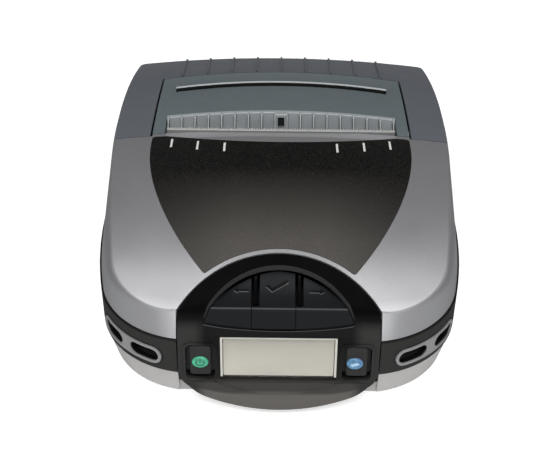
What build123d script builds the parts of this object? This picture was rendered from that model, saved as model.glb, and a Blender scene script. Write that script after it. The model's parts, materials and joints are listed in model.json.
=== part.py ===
"""Portable thermal printer: a palm-down label printer with a hinged media cover.

Millimetres, +Z up, the display end faces -Y, the origin is the middle of the footprint on the table.
The top is one shallow dome that bends about two long axes, and every shell, lid and overlay is cut
from that same dome at its own depth.
"""

import os
from math import atan2, cos, degrees, hypot, pi, radians, sin, sqrt, tan

from build123d import *

# Overall form
width = 180.0
length = 226.0
height = 81.0
front_bend = 167.0
rear_bend = 365.0
crown_bend = 700.0
case_lift = 1.0
lower_case_top = 16.6
band_top = 37.0
loft_top = 85.0
wall = 2.2
band_wall = 3.0
band_groove = 0.4
band_edge = 0.4
shell_step = 0.9
upstand_root = 4.0
floor_wall = 2.4

# Plan outline
nose_reach = 9.5
hinge_reach = 4.1
corner_centre_x = 39.4
corner_radius = 46.0
corner_turn = 12.0
side_straight_end = 30.0
rear_turn = 5.3
rear_corner_radius = 5.0
least_corner_radius = 0.5
shoulder_tuck = 7.0
shoulder_front_half = 30.0
shoulder_corner_x = 56.4
shoulder_corner_y = -76.4
shoulder_corner_radius = 14.7
shoulder_corner_turn = 13.3
shoulder_bulge = 30.0
shoulder_first_handle = 0.21
shoulder_last_handle = 0.6
facet_draft = 31.9
rear_tuck = 1.3
lower_tuck = 3.7
top_edge_radius = 1.8
inner_edge_radius = 0.8
bottom_edge_radius = 1.0

# Clearances
seam_y = 1.5
seam_gap = 0.5
slit_gap = 1.1
door_rear_gap = 0.7
button_gap = 0.35
running_gap = 0.06
slide_gap = 0.3
overlay_gap = 0.15
mesh_gap = 0.16

# Hinge
hinge_radius = 3.0
hinge_pin_radius = 1.2
hinge_place_x = 50.0
hinge_knuckle = 9.0
hinge_side_gap = 0.4

# Label overlay and its ring
label_depth = 0.5
label_proud = 0.15
label_half = 64.0
label_top_side = 0.3
label_top_middle = -7.2
label_top_arc_half = 57.0
label_shoulder_y = -3.0
label_waist_x = 62.3
label_waist_y = -27.0
label_hip_x = 55.0
label_hip_y = -50.0
label_foot_x = 34.0
label_corner_radius = 1.6
ring_width = 2.4

# Control pod
pod_half = 45.6
pod_arch_top = -73.8
pod_arch_foot = -96.2
pod_wall = 2.6
pod_gap = 0.6
pod_face_top = -102.5
pod_face_top_z = 39.2
pod_brow_z = 42.0
pod_face_foot = -105.6
pod_face_foot_z = 15.0
pod_back_y = -98.0
pod_foot_radius = 15.0
pod_belly_radius = 190.0
pocket_half = 33.7
pocket_top = -79.0
pocket_foot = -97.3
pocket_smile_end = -98.9
pocket_smile = -100.6
key_crest_y = -94.2
key_crest_z = 49.2
key_face_foot_z = 41.9
key_back_y = -77.4
key_back_z = 56.6
key_scoop_y = -86.0
key_scoop_z = 50.3
key_thickness = 4.0
key_tuck = 1.5
key_split_left = -12.4
key_split_right = 7.5
key_channel_width = 3.9
key_divider_width = 1.2
key_divider_rise = 0.8
key_lip = 1.0
key_gap = 0.35
key_crest_radius = 0.8
key_travel = 1.5
key_press_turn = 60.0
membrane_gap = 4.2
membrane_thickness = 1.0
membrane_inset = 2.0
nose_half = 43.6
nose_rim_y = -110.4
nose_rim_z = 10.9
nose_rim_width = 2.6
nose_recess_depth = 0.9
nose_lip_radius = 2.2
nose_top_z = 14.3
nose_bottom_z = 3.4
display_half = 25.4
display_bottom = 17.35
display_top = 38.2
display_proud = 0.5
display_frame = 0.95
display_frame_top = 0.5
display_shadow_gap = 2.2
display_glass = 1.0
display_module_depth = 3.0
display_board_top = 33.6
button_place_x = 35.5
button_width = 9.6
button_low = 18.1
button_high = 34.1
button_recess_low = 16.0
button_recess_high = 34.7
button_icon_z = 25.4
button_travel = 1.2
button_slot = 1.9
button_lip = 0.7
button_rim = 1.0
button_corner = 2.4
button_icon_width = 7.5
button_icon_height = 6.0
button_icon_depth = 0.9
feed_icon_shift = 0.9

# Strap mounts
strap_slot_height = 7.0
strap_slot_length = 15.5
strap_bezel_height = 9.8
strap_bezel_proud = 0.8
strap_bezel_depth = 2.2
strap_slot_z = 25.4
strap_start = 21.0
strap_gap = 5.0
strap_tunnel_depth = 12.0
strap_cup_wall = 1.4
bezel_seat = 0.3
bezel_groove = 0.4

# Centre panel, here the exit door
panel_half = 64.4
panel_rear_side = 69.9
panel_rear_middle = 76.0
panel_skin = 1.6
panel_rim_skin = 0.7
panel_rim_width = 3.0
panel_side_wall = 1.8
panel_side_depth = 4.4
door_hinge_y = 94.0
door_hinge_z = 59.4
door_pin_radius = 1.0
door_lug_radius = 2.2
door_arm_x = 59.6
door_arm_width = 2.8
door_arm_depth = 3.6
door_arm_gap = 0.8
door_turn = 30.0
grip_half = 56.4
grip_y_side = 50.6
grip_y_middle = 55.5
grip_width = 2.4
grip_height = 1.5
grip_groove_width = 1.0
grip_groove_depth = 0.8
guide_half = 57.6
guide_cells = 16
guide_lean_y = 8.6
guide_lean_z = 7.6
guide_foot_y = 13.0
guide_foot_z = 72.6
guide_rib = 0.9
guide_rib_height = 1.6
guide_wall = 1.4
sensor_width = 6.2
sensor_window_width = 3.4
sensor_window_height = 3.6
sensor_z = 77.5

# Small roller under the guide
roller_y = 8.3
roller_z = 71.4
roller_radius = 1.7
roller_pin_radius = 0.8
roller_half = 54.0
roller_ear_start = 58.8
roller_ear_end = 60.4
roller_ear_reach = 2.7

# Rear ribs
rib_count = 9
rib_pitch = 13.75
rib_width = 1.0
rib_height = 0.8
rib_start_gap = 0.6

# Tear bar
tear_half = 57.5
tear_top_z = 82.0
tear_thickness = 0.8
tear_depth = 6.7
tear_pitch = 1.2
tear_tooth = 0.8
lip_rear = 3.0
lip_bottom = 75.6
lip_slope_y = -3.0
lip_slope_z = 79.9

# Printing mechanism
platen_y = 15.0
platen_z = 63.4
platen_radius = 7.0
platen_half = 54.5
shaft_radius = 3.0
bearing_radius = 5.0
bearing_width = 3.0
bearing_flange = 6.2
frame_plate_x = 61.0
frame_plate_wall = 1.5
frame_front_y = -20.0
frame_rear_y = 24.0
frame_top_z = 70.5
frame_notch_y = 5.4
frame_notch_z = 57.5
carrier_plate_x = 57.0
carrier_plate = 1.5
carrier_beam_y = 25.4
carrier_beam_z = 59.0
carrier_beam_height = 9.5
cover_rib_x = 70.0
cover_rib_width = 2.0
cover_rib_bottom = 58.0
paper_gap = 0.35
head_height = 16.6
head_drop = 2.6
head_thickness = 5.4
head_strip = 1.0
head_half = 56.0
head_bracket_y = -7.5
head_bracket_thickness = 1.5
head_spring_radius = 3.2
head_spring_wire = 0.5
head_spring_turns = 6
head_spring_x = 26.0
gear_module = 1.0
gear_width = 4.0
gear_place_x = 63.6
platen_teeth = 16
idler_teeth = 24
motor_teeth = 12
motor_turn_from_idler = 226.0
motor_half = 14.0
motor_length = 26.0
motor_shaft_radius = 1.5
post_radius = 2.0

# Media bay
bay_half = 61.0
bay_front = 27.0
bay_rear = 97.5
bay_floor = 8.2
bay_wall = 1.6
bay_side_top = 33.0
roll_y = 60.0
roll_z = 39.6
media_half = 56.0
guide_plate = 2.4
guide_radius = 24.0
guide_travel = 30.0
rack_teeth_width = 3.0
rack_bar = 3.0
rack_floor = 4.6
rack_reach = 16.0
guide_pinion_teeth = 16
hub_radius = 12.4
hub_depth = 5.0
hub_pin_radius = 4.0

# Power and electronics
battery_half = 42.0
battery_front = -96.0
battery_rear = -38.0
battery_height = 22.0
board_half = 52.0
board_z = 32.2
board_thickness = 1.6
board_front = -88.0
board_rear = -34.0
jack_y = -22.0
usb_y = -37.0
port_z = 28.0
port_board_x = 73.0
port_cover_length = 34.0
port_cover_height = 13.0
port_cover_thickness = 1.8
port_cover_gap = 0.05

# Latch buttons on both sides
latch_y = 8.0
latch_z = 28.0
latch_length = 20.0
latch_height = 11.0
latch_stem_x = 77.0
latch_post_x = 69.4
latch_catch_x = 80.4
latch_catch_z = 43.0
latch_hook_gap = 0.5
latch_spring_radius = 2.6
latch_spring_wire = 0.4
latch_spring_turns = 3

# Feet and screws
foot_radius = 6.0
foot_x = 62.0
foot_front_y = -66.0
foot_rear_y = 88.0
foot_height = 2.0
screw_head_radius = 2.75
screw_radius = 1.5
screw_x = 70.0
screw_front_y = -48.0
screw_rear_y = 72.0

half_width = width / 2
nose_y = -length / 2
front_face = nose_y + nose_reach
hinge_y = length / 2 - hinge_radius
hinge_z = band_top
rear_face = length / 2 - hinge_reach
front_axis_z = height - front_bend
rear_axis_z = height - rear_bend


def block(x0, x1, y0, y1, z0, z1):
    """An upright block between two corners."""
    place = Pos((x0 + x1) / 2, (y0 + y1) / 2, (z0 + z1) / 2)
    return place * Box(abs(x1 - x0), abs(y1 - y0), abs(z1 - z0))


def rod_x(radius, x0, x1, y, z):
    """A round bar along X."""
    return Pos((x0 + x1) / 2, y, z) * Rot(0, 90, 0) * Cylinder(radius, abs(x1 - x0))


def rod_z(radius, x, y, z0, z1):
    """A round bar along Z."""
    return Pos(x, y, (z0 + z1) / 2) * Cylinder(radius, abs(z1 - z0))


def side_profile(points, x0, x1):
    """A prism along X whose outline is given as (y, z) points."""
    face = make_face(Polyline(*[(0, y, z) for y, z in points], close=True))
    return Pos(min(x0, x1), 0, 0) * extrude(face, amount=abs(x1 - x0), dir=(1, 0, 0))


def front_profile(points, y0, y1):
    """A prism along Y whose outline is given as (x, z) points."""
    face = make_face(Polyline(*[(x, 0, z) for x, z in points], close=True))
    return Pos(0, min(y0, y1), 0) * extrude(face, amount=abs(y1 - y0), dir=(0, 1, 0))


def upright(face, z0, z1):
    """A plan face at z=0 raised between two heights."""
    return Pos(0, 0, z0) * extrude(face, amount=z1 - z0, dir=(0, 0, 1))


def both_sides(shape):
    """The shape and its mirror image about the middle of the printer."""
    return [shape, mirror(shape, about=Plane.YZ)]


def dome_z(x, y, depth=0.0):
    """Height of the top surface, or of a surface at some depth under it."""
    bend = front_bend if y < 0 else rear_bend
    crown = crown_bend - depth
    drop = crown_bend - sqrt(crown * crown - x * x)
    reach = bend - drop
    return height - bend + sqrt(reach * reach - y * y)


def under_dome(depth):
    """Everything below the top surface lowered by a depth."""
    crown = crown_bend - depth
    half = half_width + 20
    edge = height - crown_bend + sqrt(crown * crown - half * half)
    halves = []
    for axis_z, turn in ((front_axis_z, 60), (rear_axis_z, -27)):
        rim = ThreePointArc((half, 0, edge), (0, 0, height - depth), (-half, 0, edge))
        sides = Polyline((-half, 0, edge), (-half, 0, axis_z), (half, 0, axis_z), (half, 0, edge))
        section = make_face([*rim.edges(), *sides.edges()])
        axis = Axis((0, 0, axis_z), (1, 0, 0))
        halves.append(revolve(section, axis=axis, revolution_arc=turn))
    return halves[0] + halves[1]


def outline(z, half, front, front_half, corner, turn, rear, rear_r):
    """The plan outline: flat front, a given corner, long side arcs and square-ish rear corners."""
    turn_r = radians(turn)
    corner_end = corner @ 1
    side_r = (half - corner_end.X) / (1 - cos(turn_r))
    side_y = corner_end.Y + side_r * sin(turn_r)
    back_r = radians(rear_turn)
    back_side_r = (rear - rear_r * (1 - sin(back_r)) - side_straight_end) / sin(back_r)
    rear_x = half - back_side_r * (1 - cos(back_r)) - rear_r * cos(back_r)
    right = [
        corner,
        CenterArc((half - side_r, side_y, z), side_r, -turn, turn),
        Line((half, side_y, z), (half, side_straight_end, z)),
        CenterArc((half - back_side_r, side_straight_end, z), back_side_r, 0, rear_turn),
        CenterArc((rear_x, rear - rear_r, z), rear_r, rear_turn, 90 - rear_turn),
    ]
    left = [mirror(edge, about=Plane.YZ) for edge in right]
    front_line = Line((-front_half, front, z), (front_half, front, z))
    rear_line = Line((rear_x, rear, z), (-rear_x, rear, z))
    return make_face([edge for line in [*right, *left, front_line, rear_line] for edge in line.edges()])


def belt_outline(z=0.0, inset=0.0):
    """Outline at the widest height, where the bumper band runs."""
    centre = (corner_centre_x, front_face + corner_radius, z)
    corner = CenterArc(centre, corner_radius - inset, -90, 90 - corner_turn)
    return outline(z, half_width - inset, front_face + inset, corner_centre_x, corner, corner_turn,
                   rear_face - inset, max(rear_corner_radius - inset, least_corner_radius))


def shoulder_outline(inset=0.0):
    """Outline that the upper walls lean in to, with a front that swings forward beside the pod."""
    front = front_face + (loft_top - band_top) * tan(radians(facet_draft)) + inset
    centre = (shoulder_corner_x, shoulder_corner_y, loft_top)
    radius = shoulder_corner_radius - inset
    bulge = radians(shoulder_bulge)
    bend = CenterArc(centre, radius, -90 - shoulder_bulge, 90 + shoulder_bulge - shoulder_corner_turn)
    start = Vector(shoulder_front_half, front, loft_top)
    end = bend @ 0
    span = (end - start).length
    first = start + Vector(shoulder_first_handle * span, 0, 0)
    last = end + Vector(-cos(bulge), sin(bulge), 0) * (shoulder_last_handle * span)
    swing = Bezier(start, first, last, end)
    points = [swing @ t for t in (0, 0.35, 0.7)] + [bend @ t for t in (0, 0.25, 0.5, 0.75, 1)]
    corner = Spline(*points, tangents=[swing % 0, bend % 1])
    return outline(loft_top, half_width - shoulder_tuck - inset, front, shoulder_front_half, corner,
                   shoulder_corner_turn, rear_face - rear_tuck - inset,
                   max(rear_corner_radius - inset, least_corner_radius))


def facet_y(z):
    """Place of the front facet at a height, from its foot just inside the band's face."""
    share = (z - band_top) / (loft_top - band_top)
    return front_face + shell_step + share * ((loft_top - band_top) * tan(radians(facet_draft)) - shell_step)


def upper_form(depth, edge_radius):
    """The whole upper body at some depth under its outer surface, from the band up."""
    walls = loft([belt_outline(band_top, depth + shell_step), shoulder_outline(depth)], ruled=True)
    form = walls & under_dome(depth)
    form = form.solids().sort_by(SortBy.VOLUME)[-1]
    rim = [e for e in form.edges() if band_top + 4 < e.center().Z and e.length > 5
           and e.bounding_box().size.Z < 40]
    return fillet(rim, edge_radius)


outer_form = upper_form(0.0, top_edge_radius)
inner_form = upper_form(wall, inner_edge_radius)


def fused(*shapes):
    """All shapes joined into one piece."""
    joined = shapes[0]
    for shape in shapes[1:]:
        joined = joined + shape
    return joined


def dome_skin(top, bottom):
    """The layer of the top surface between two depths."""
    return under_dome(top) - under_dome(bottom)


def plan_face(*lines):
    """A plan face closed by the given lines and arcs."""
    return make_face([edge for line in lines for edge in line.edges()])


def ahead_of_seam():
    """Room in front of the seam between the front shell and the cover."""
    return block(-width, width, -length, seam_y - seam_gap / 2, band_top, height + 20)


def behind_seam():
    """Room behind the seam, clear of the band."""
    return block(-width, width, seam_y + seam_gap / 2, length, band_top + seam_gap, height + 20)


pod_arch_rise = pod_arch_top - pod_arch_foot
pod_arch_radius = (pod_half ** 2 + pod_arch_rise ** 2) / (2 * pod_arch_rise)
pod_arch_centre = pod_arch_top - pod_arch_radius


def pod_plan(spread=0.0):
    """Plan of the pod: an arch over straight sides, open towards the front."""
    half = pod_half + spread
    crown = pod_arch_top + spread
    foot = pod_arch_centre + sqrt((pod_arch_radius + spread) ** 2 - half ** 2)
    front = -length
    arch = ThreePointArc((-half, foot, 0), (0, crown, 0), (half, foot, 0))
    return plan_face(arch, Polyline((half, foot, 0), (half, front, 0), (-half, front, 0), (-half, foot, 0)))


def pocket_plan(spread=0.0, smile_spread=0.0):
    """Plan of the key pocket: an arch, two short straight sides and a shallow smile."""
    half = pocket_half + spread
    crown = pocket_top + spread
    end = pocket_smile_end - smile_spread
    arch = ThreePointArc((-half, pocket_foot, 0), (0, crown, 0), (half, pocket_foot, 0))
    smile = ThreePointArc((half, end, 0), (0, pocket_smile - smile_spread, 0), (-half, end, 0))
    sides = [Line((x, pocket_foot, 0), (x, end, 0)) for x in (-half, half)]
    return plan_face(arch, smile, *sides)


def label_plan(spread=0.0):
    """Plan of the label overlay, from the seam down to the pod's arch."""
    top = label_top_side + spread
    half = label_half + spread
    foot_radius = pod_arch_radius + ring_width - spread
    foot_half = label_foot_x + spread
    foot_y = pod_arch_centre + sqrt(foot_radius ** 2 - foot_half ** 2)
    arc_half = label_top_arc_half
    lines = [
        ThreePointArc((-arc_half, top, 0), (0, label_top_middle + spread, 0), (arc_half, top, 0)),
        ThreePointArc((foot_half, foot_y, 0), (0, pod_arch_centre + foot_radius, 0),
                      (-foot_half, foot_y, 0)),
        Polyline((arc_half, top, 0), (half, top, 0), (half, label_shoulder_y, 0)),
        Polyline((-arc_half, top, 0), (-half, top, 0), (-half, label_shoulder_y, 0)),
    ]
    side = [(half, label_shoulder_y, 0), (label_waist_x + spread, label_waist_y, 0),
            (label_hip_x + spread, label_hip_y, 0), (foot_half, foot_y, 0)]
    lines.append(Spline(*side))
    lines.append(Spline(*[(-x, y, z) for x, y, z in side]))
    face = plan_face(*lines)
    corners = [v for v in face.vertices() if v.Y < label_hip_y]
    corners += [v for v in face.vertices() if v.Y > label_shoulder_y + 1 and abs(v.X) > arc_half + 1]
    return fillet(corners, label_corner_radius)


def panel_plan(spread=0.0, rear_spread=None):
    """Plan of the centre panel with its arched rear edge."""
    rear = spread if rear_spread is None else rear_spread
    half = panel_half + spread
    front = seam_y - 20 if spread > 0 else seam_y + seam_gap / 2
    side = panel_rear_side + rear
    arch = ThreePointArc((half, side, 0), (0, panel_rear_middle + rear, 0), (-half, side, 0))
    return plan_face(arch, Polyline((-half, side, 0), (-half, front, 0), (half, front, 0), (half, side, 0)))


def guide_front(offset):
    """Room in front of the leaning face of the paper guide, moved back by an offset."""
    lean = hypot(guide_lean_y, guide_lean_z)
    shift = offset * lean / guide_lean_z
    foot = guide_foot_y + shift
    reach = 3.0
    points = [(foot - guide_lean_y, guide_foot_z - guide_lean_z),
              (foot + reach * guide_lean_y, guide_foot_z + reach * guide_lean_z),
              (-40, guide_foot_z + reach * guide_lean_z), (-40, guide_foot_z - guide_lean_z)]
    return points


pod_tilt = atan2(pod_face_top - pod_face_foot, pod_face_top_z - pod_face_foot_z)
pod_face_mid_z = (pod_face_top_z + pod_face_foot_z) / 2
pod_face_mid_y = (pod_face_top + pod_face_foot) / 2
pod_face = Plane(origin=(0, pod_face_mid_y, pod_face_mid_z), x_dir=(1, 0, 0),
                 z_dir=(0, -cos(pod_tilt), sin(pod_tilt)))


def on_pod(x, z, out_low, out_high, across, high, corner=0.0):
    """A block standing on the pod's tilted face, at a place given by X and real height."""
    up = (z - pod_face_mid_z) / cos(pod_tilt)
    if corner:
        face = RectangleRounded(across, high, corner)
    else:
        face = Rectangle(across, high)
    solid = extrude(face, amount=out_high - out_low)
    return pod_face.location * Pos(x, up, out_low) * solid


def pod_block(x, z_low, z_high, out_low, out_high, across, corner=0.0):
    """A block standing on the pod's tilted face between two real heights."""
    high = (z_high - z_low) / cos(pod_tilt)
    return on_pod(x, (z_low + z_high) / 2, out_low, out_high, across, high, corner)


def round_on_pod(x, z, out_low, out_high, across, high):
    """An oval post standing on the pod's tilted face."""
    up = (z - pod_face_mid_z) / cos(pod_tilt)
    solid = extrude(Ellipse(across / 2, high / 2), amount=out_high - out_low)
    return pod_face.location * Pos(x, up, out_low) * solid


strap_middle_y = front_face + corner_radius


def corner_sector(angle_0, angle_1, r0, r1, z0, z1, side=1):
    """A curved block that follows the front corner between two angles."""
    points = []
    for radius, angles in ((r1, (angle_0, (angle_0 + angle_1) / 2, angle_1)),
                           (r0, (angle_1, (angle_0 + angle_1) / 2, angle_0))):
        points.append([(corner_centre_x + radius * cos(radians(a)),
                        strap_middle_y + radius * sin(radians(a)), 0) for a in angles])
    outer = ThreePointArc(*points[0])
    inner = ThreePointArc(*points[1])
    face = plan_face(outer, Line(points[0][2], points[1][0]), inner, Line(points[1][2], points[0][0]))
    solid = upright(face, z0, z1)
    return solid if side > 0 else mirror(solid, about=Plane.YZ)


def corner_slot(angle_0, angle_1, r0, r1, slot_height, side=1):
    """A curved slot shape with round ends that follows the front corner."""
    half_z = slot_height / 2
    turn = degrees(half_z / corner_radius)
    low = strap_slot_z - half_z
    high = strap_slot_z + half_z
    pieces = [corner_sector(angle_0 + turn, angle_1 - turn, r0, r1, low, high)]
    for angle in (angle_0 + turn, angle_1 - turn):
        mid = (r0 + r1) / 2
        centre = (corner_centre_x + mid * cos(radians(angle)), strap_middle_y + mid * sin(radians(angle)),
                  strap_slot_z)
        post = Pos(*centre) * Rot(0, 0, angle) * Rot(0, 90, 0) * Cylinder(half_z, r1 - r0)
        pieces.append(post)
    solid = fused(*pieces)
    return solid if side > 0 else mirror(solid, about=Plane.YZ)


slot_turn = degrees(strap_slot_length / corner_radius)
post_turn = degrees(strap_gap / corner_radius)
slot_2_end = -strap_start - 5.0
slot_2_start = slot_2_end - slot_turn
slot_1_end = slot_2_start - post_turn
slot_1_start = slot_1_end - slot_turn
bezel_border = degrees((strap_bezel_height - strap_slot_height) / 2 / corner_radius)
bezel_start = slot_1_start - bezel_border
bezel_end = slot_2_end + bezel_border


def strap_bezel(side):
    """The link-shaped metal surround of the two strap slots."""
    ring = corner_slot(bezel_start, bezel_end, corner_radius - strap_bezel_depth,
                       corner_radius + strap_bezel_proud, strap_bezel_height)
    for start, end in ((slot_1_start, slot_1_end), (slot_2_start, slot_2_end)):
        ring = ring - corner_slot(start, end, corner_radius - 10, corner_radius + 10, strap_slot_height)
    return ring if side > 0 else mirror(ring, about=Plane.YZ)


def strap_cup(side):
    """The closed tunnel behind the slots, where the strap turns round the post."""
    outer_r = corner_radius - band_wall
    inner_r = outer_r - strap_tunnel_depth
    grow = degrees(strap_cup_wall / inner_r)
    shell = corner_sector(slot_1_start - grow, slot_2_end + grow, inner_r - strap_cup_wall, outer_r,
                          strap_slot_z - strap_slot_height / 2 - strap_cup_wall,
                          strap_slot_z + strap_slot_height / 2 + strap_cup_wall)
    hollow = corner_sector(slot_1_start, slot_2_end, inner_r, outer_r + 1,
                           strap_slot_z - strap_slot_height / 2, strap_slot_z + strap_slot_height / 2)
    cup = shell - hollow
    return cup if side > 0 else mirror(cup, about=Plane.YZ)


def knuckle(x0, x1, grow=0.0):
    """One barrel of the cover hinge between two places along X."""
    return rod_x(hinge_radius + grow, x0 - grow, x1 + grow, hinge_y, hinge_z)


def hinge_places():
    """The left ends of the body's and the cover's barrels, outward from the middle on both sides."""
    body = [hinge_place_x, hinge_place_x + 2 * (hinge_knuckle + hinge_side_gap)]
    cover = [hinge_place_x + hinge_knuckle + hinge_side_gap]
    return body, cover


def case_hinge_arm(place):
    """The arm that carries one of the case's hinge barrels."""
    root_y = rear_face - band_wall - wall
    return block(place, place + hinge_knuckle, root_y, hinge_y, hinge_z - 9, hinge_z - 1)


def pod_opening(spread):
    """Everything in front of and above the pod's own outline."""
    return upright(pod_plan(spread), 0.0 - case_lift, height)


def upper_case():
    """The silver front shell with its rear lip for the tear bar."""
    shell = (outer_form - inner_form) & ahead_of_seam()
    lip_half = panel_half
    lip = block(-lip_half, lip_half, seam_y - seam_gap / 2 - wall, lip_rear, lip_bottom, height + 5)
    shell = shell + (lip & under_dome(0.0))
    past = lip_rear - lip_slope_y
    end_z = height + (lip_slope_z - height) * 2
    slope = [(lip_slope_y, height), (lip_slope_y + 2 * past, end_z), (lip_slope_y + 2 * past, height + 5),
             (lip_slope_y, height + 5)]
    shell = shell - side_profile(slope, -lip_half, lip_half)
    shell = shell - pod_opening(pod_gap)
    recess = upright(label_plan(overlay_gap), 40, height + 5) & (dome_skin(-3.0, label_depth - label_proud))
    return shell - recess


def label_overlay():
    """The thin dark overlay sheet that lies in the front shell."""
    return upright(label_plan(), 40, height + 5) & dome_skin(-label_proud, label_depth - label_proud)


def band_ring(outer_inset, inner_inset, z0, z1):
    """A ring that follows the belt outline."""
    outer = upright(belt_outline(0.0, outer_inset), z0, z1)
    return outer - upright(belt_outline(0.0, inner_inset), z0 - 1, z1 + 1)


def latch_window(grow):
    """Room for a latch button in the right side of the band."""
    half = latch_length / 2 + grow
    high = latch_height / 2 + grow
    solid = block(half_width - 12, half_width + 5, latch_y - half, latch_y + half,
                  latch_z - high, latch_z + high)
    corners = solid.edges().filter_by(Axis.X)
    return fillet(corners, 3.0 + grow)


port_middle_y = (jack_y + usb_y) / 2


def port_window(grow):
    """Room for the port cover in the right side of the band."""
    half = port_cover_length / 2 + grow
    high = port_cover_height / 2 + grow
    return block(half_width - 12, half_width + 5, port_middle_y - half, port_middle_y + half,
                 port_z - high, port_z + high)


def bumper_band():
    """The dark band around the middle of the case."""
    band = band_ring(0.0, band_wall, lower_case_top, band_top - band_groove)
    top = band.faces().sort_by(Axis.Z)[-1]
    bottom = band.faces().sort_by(Axis.Z)[0]
    outer = [e for f in (top, bottom) for e in f.outer_wire().edges()]
    band = chamfer(outer, band_edge)
    band = band - pod_opening(pod_gap)
    for side in (1, -1):
        turn = degrees(bezel_groove / corner_radius)
        seat_r = corner_radius - strap_bezel_depth - bezel_seat
        frame = corner_slot(bezel_start - turn, bezel_end + turn, seat_r, corner_radius + 5,
                            strap_bezel_height + 2 * bezel_groove, side)
        hole = corner_sector(slot_1_start, slot_2_end, corner_radius - 8, corner_radius + 3,
                             strap_slot_z - strap_slot_height / 2, strap_slot_z + strap_slot_height / 2, side)
        band = band - frame - hole
        window = latch_window(button_gap)
        band = band - (window if side > 0 else mirror(window, about=Plane.YZ))
    band = band - port_window(button_gap)
    body_places, cover_places = hinge_places()
    for place in body_places:
        for barrel in both_sides(knuckle(place, place + hinge_knuckle) + case_hinge_arm(place)):
            band = band - barrel
    for place in cover_places:
        for barrel in both_sides(knuckle(place, place + hinge_knuckle, hinge_side_gap)):
            band = band - barrel
    return band


def lower_case():
    """The silver tub with its floor, the upstand inside the band and the hinge barrels."""
    top = belt_outline(lower_case_top, 0.5)
    foot = belt_outline(case_lift, lower_tuck + 0.5)
    tub = loft([foot, top], ruled=True)
    rim = tub.faces().sort_by(Axis.Z)[0].edges()
    tub = fillet(rim, bottom_edge_radius)
    inner_top = belt_outline(lower_case_top + 1, wall + 0.5)
    inner_foot = belt_outline(case_lift + floor_wall, lower_tuck + wall)
    tub = tub - loft([inner_foot, inner_top], ruled=True)
    inner = band_wall
    tub = tub + band_ring(inner, inner + wall, lower_case_top - upstand_root, band_top - 3)
    tub = tub - block(-pod_half - pod_gap, pod_half + pod_gap, -length, pod_back_y, -1, band_top)
    body_places, cover_places = hinge_places()
    for side in (1, -1):
        grow = 0.3
        inner_r = corner_radius - band_wall - strap_tunnel_depth
        turn = degrees((strap_cup_wall + grow) / inner_r)
        room = corner_sector(slot_1_start - turn, slot_2_end + turn, inner_r - 3, corner_radius + 3,
                             strap_slot_z - strap_slot_height / 2 - strap_cup_wall - grow,
                             strap_slot_z + strap_slot_height / 2 + strap_cup_wall + grow, side)
        tub = tub - room
        window = latch_window(1.0)
        tub = tub - (window if side > 0 else mirror(window, about=Plane.YZ))
        post = block(latch_post_x, latch_post_x + wall, latch_y - 7, latch_y + 7, case_lift + 1, latch_z + 6)
        tub = tub + (post if side > 0 else mirror(post, about=Plane.YZ))
    tub = tub - port_window(button_gap + 0.5)
    for place in body_places:
        for barrel in both_sides(knuckle(place, place + hinge_knuckle)):
            tub = tub + barrel
    for place in body_places:
        for one in both_sides(case_hinge_arm(place)):
            tub = tub + one
    for place in cover_places:
        for barrel in both_sides(knuckle(place, place + hinge_knuckle, hinge_side_gap)):
            tub = tub - barrel
    bore = rod_x(hinge_pin_radius, -half_width, half_width, hinge_y, hinge_z)
    tub = tub - bore
    for x in (-foot_x, foot_x):
        for y in (foot_front_y, foot_rear_y):
            tub = tub - rod_z(foot_radius + 0.1, x, y, 0, foot_height)
    for x, y in screw_places():
        tub = tub + rod_z(screw_head_radius + 2.0, x, y, case_lift + 1, case_lift + 9)
        tub = tub - rod_z(screw_head_radius + 0.3, x, y, 0, case_lift + 3)
        tub = tub - rod_z(screw_radius, x, y, 0, case_lift + 8)
    for post in board_posts():
        tub = tub + post
    return tub.solids().sort_by(SortBy.VOLUME)[-1]


def screw_places():
    """Where the four case screws sit."""
    return [(sx * screw_x, y) for sx in (-1, 1) for y in (screw_front_y, screw_rear_y)]


def case_screws():
    """Four screws that hold the case together from below."""
    screws = []
    for x, y in screw_places():
        head = rod_z(screw_head_radius, x, y, case_lift + 1.2, case_lift + 3)
        slot = block(x - 2, x + 2, y - 0.35, y + 0.35, case_lift, case_lift + 1.9)
        cross = block(x - 0.35, x + 0.35, y - 2, y + 2, case_lift, case_lift + 1.9)
        screws.append(head + rod_z(screw_radius, x, y, case_lift + 2.9, case_lift + 8) - slot - cross)
    return Compound(screws)


def rubber_feet():
    """Four rubber feet pressed into shallow seats."""
    feet = []
    for x in (-foot_x, foot_x):
        for y in (foot_front_y, foot_rear_y):
            foot = rod_z(foot_radius, x, y, 0, foot_height)
            feet.append(chamfer(foot.faces().sort_by(Axis.Z)[0].edges(), 0.5))
    return Compound(feet)


def hinge_pins():
    """The steel pins through the hinge barrels, one on each side."""
    start = hinge_place_x + 0.5
    end = hinge_place_x + 3 * hinge_knuckle + 2 * hinge_side_gap - 0.5
    pin = rod_x(hinge_pin_radius, start, end, hinge_y, hinge_z)
    return Compound(both_sides(pin))


def nose_plan(inset=0.0):
    """Plan of the chin, whose front is one long arc."""
    half = nose_half - inset
    side_y = pod_face_foot + 1.4
    front = [(-half, side_y + inset, 0), (0, nose_y + inset, 0), (half, side_y + inset, 0)]
    return plan_face(ThreePointArc(*front), Polyline(front[2], (half, pod_back_y, 0), (-half, pod_back_y, 0),
                                                     front[0]))


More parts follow.
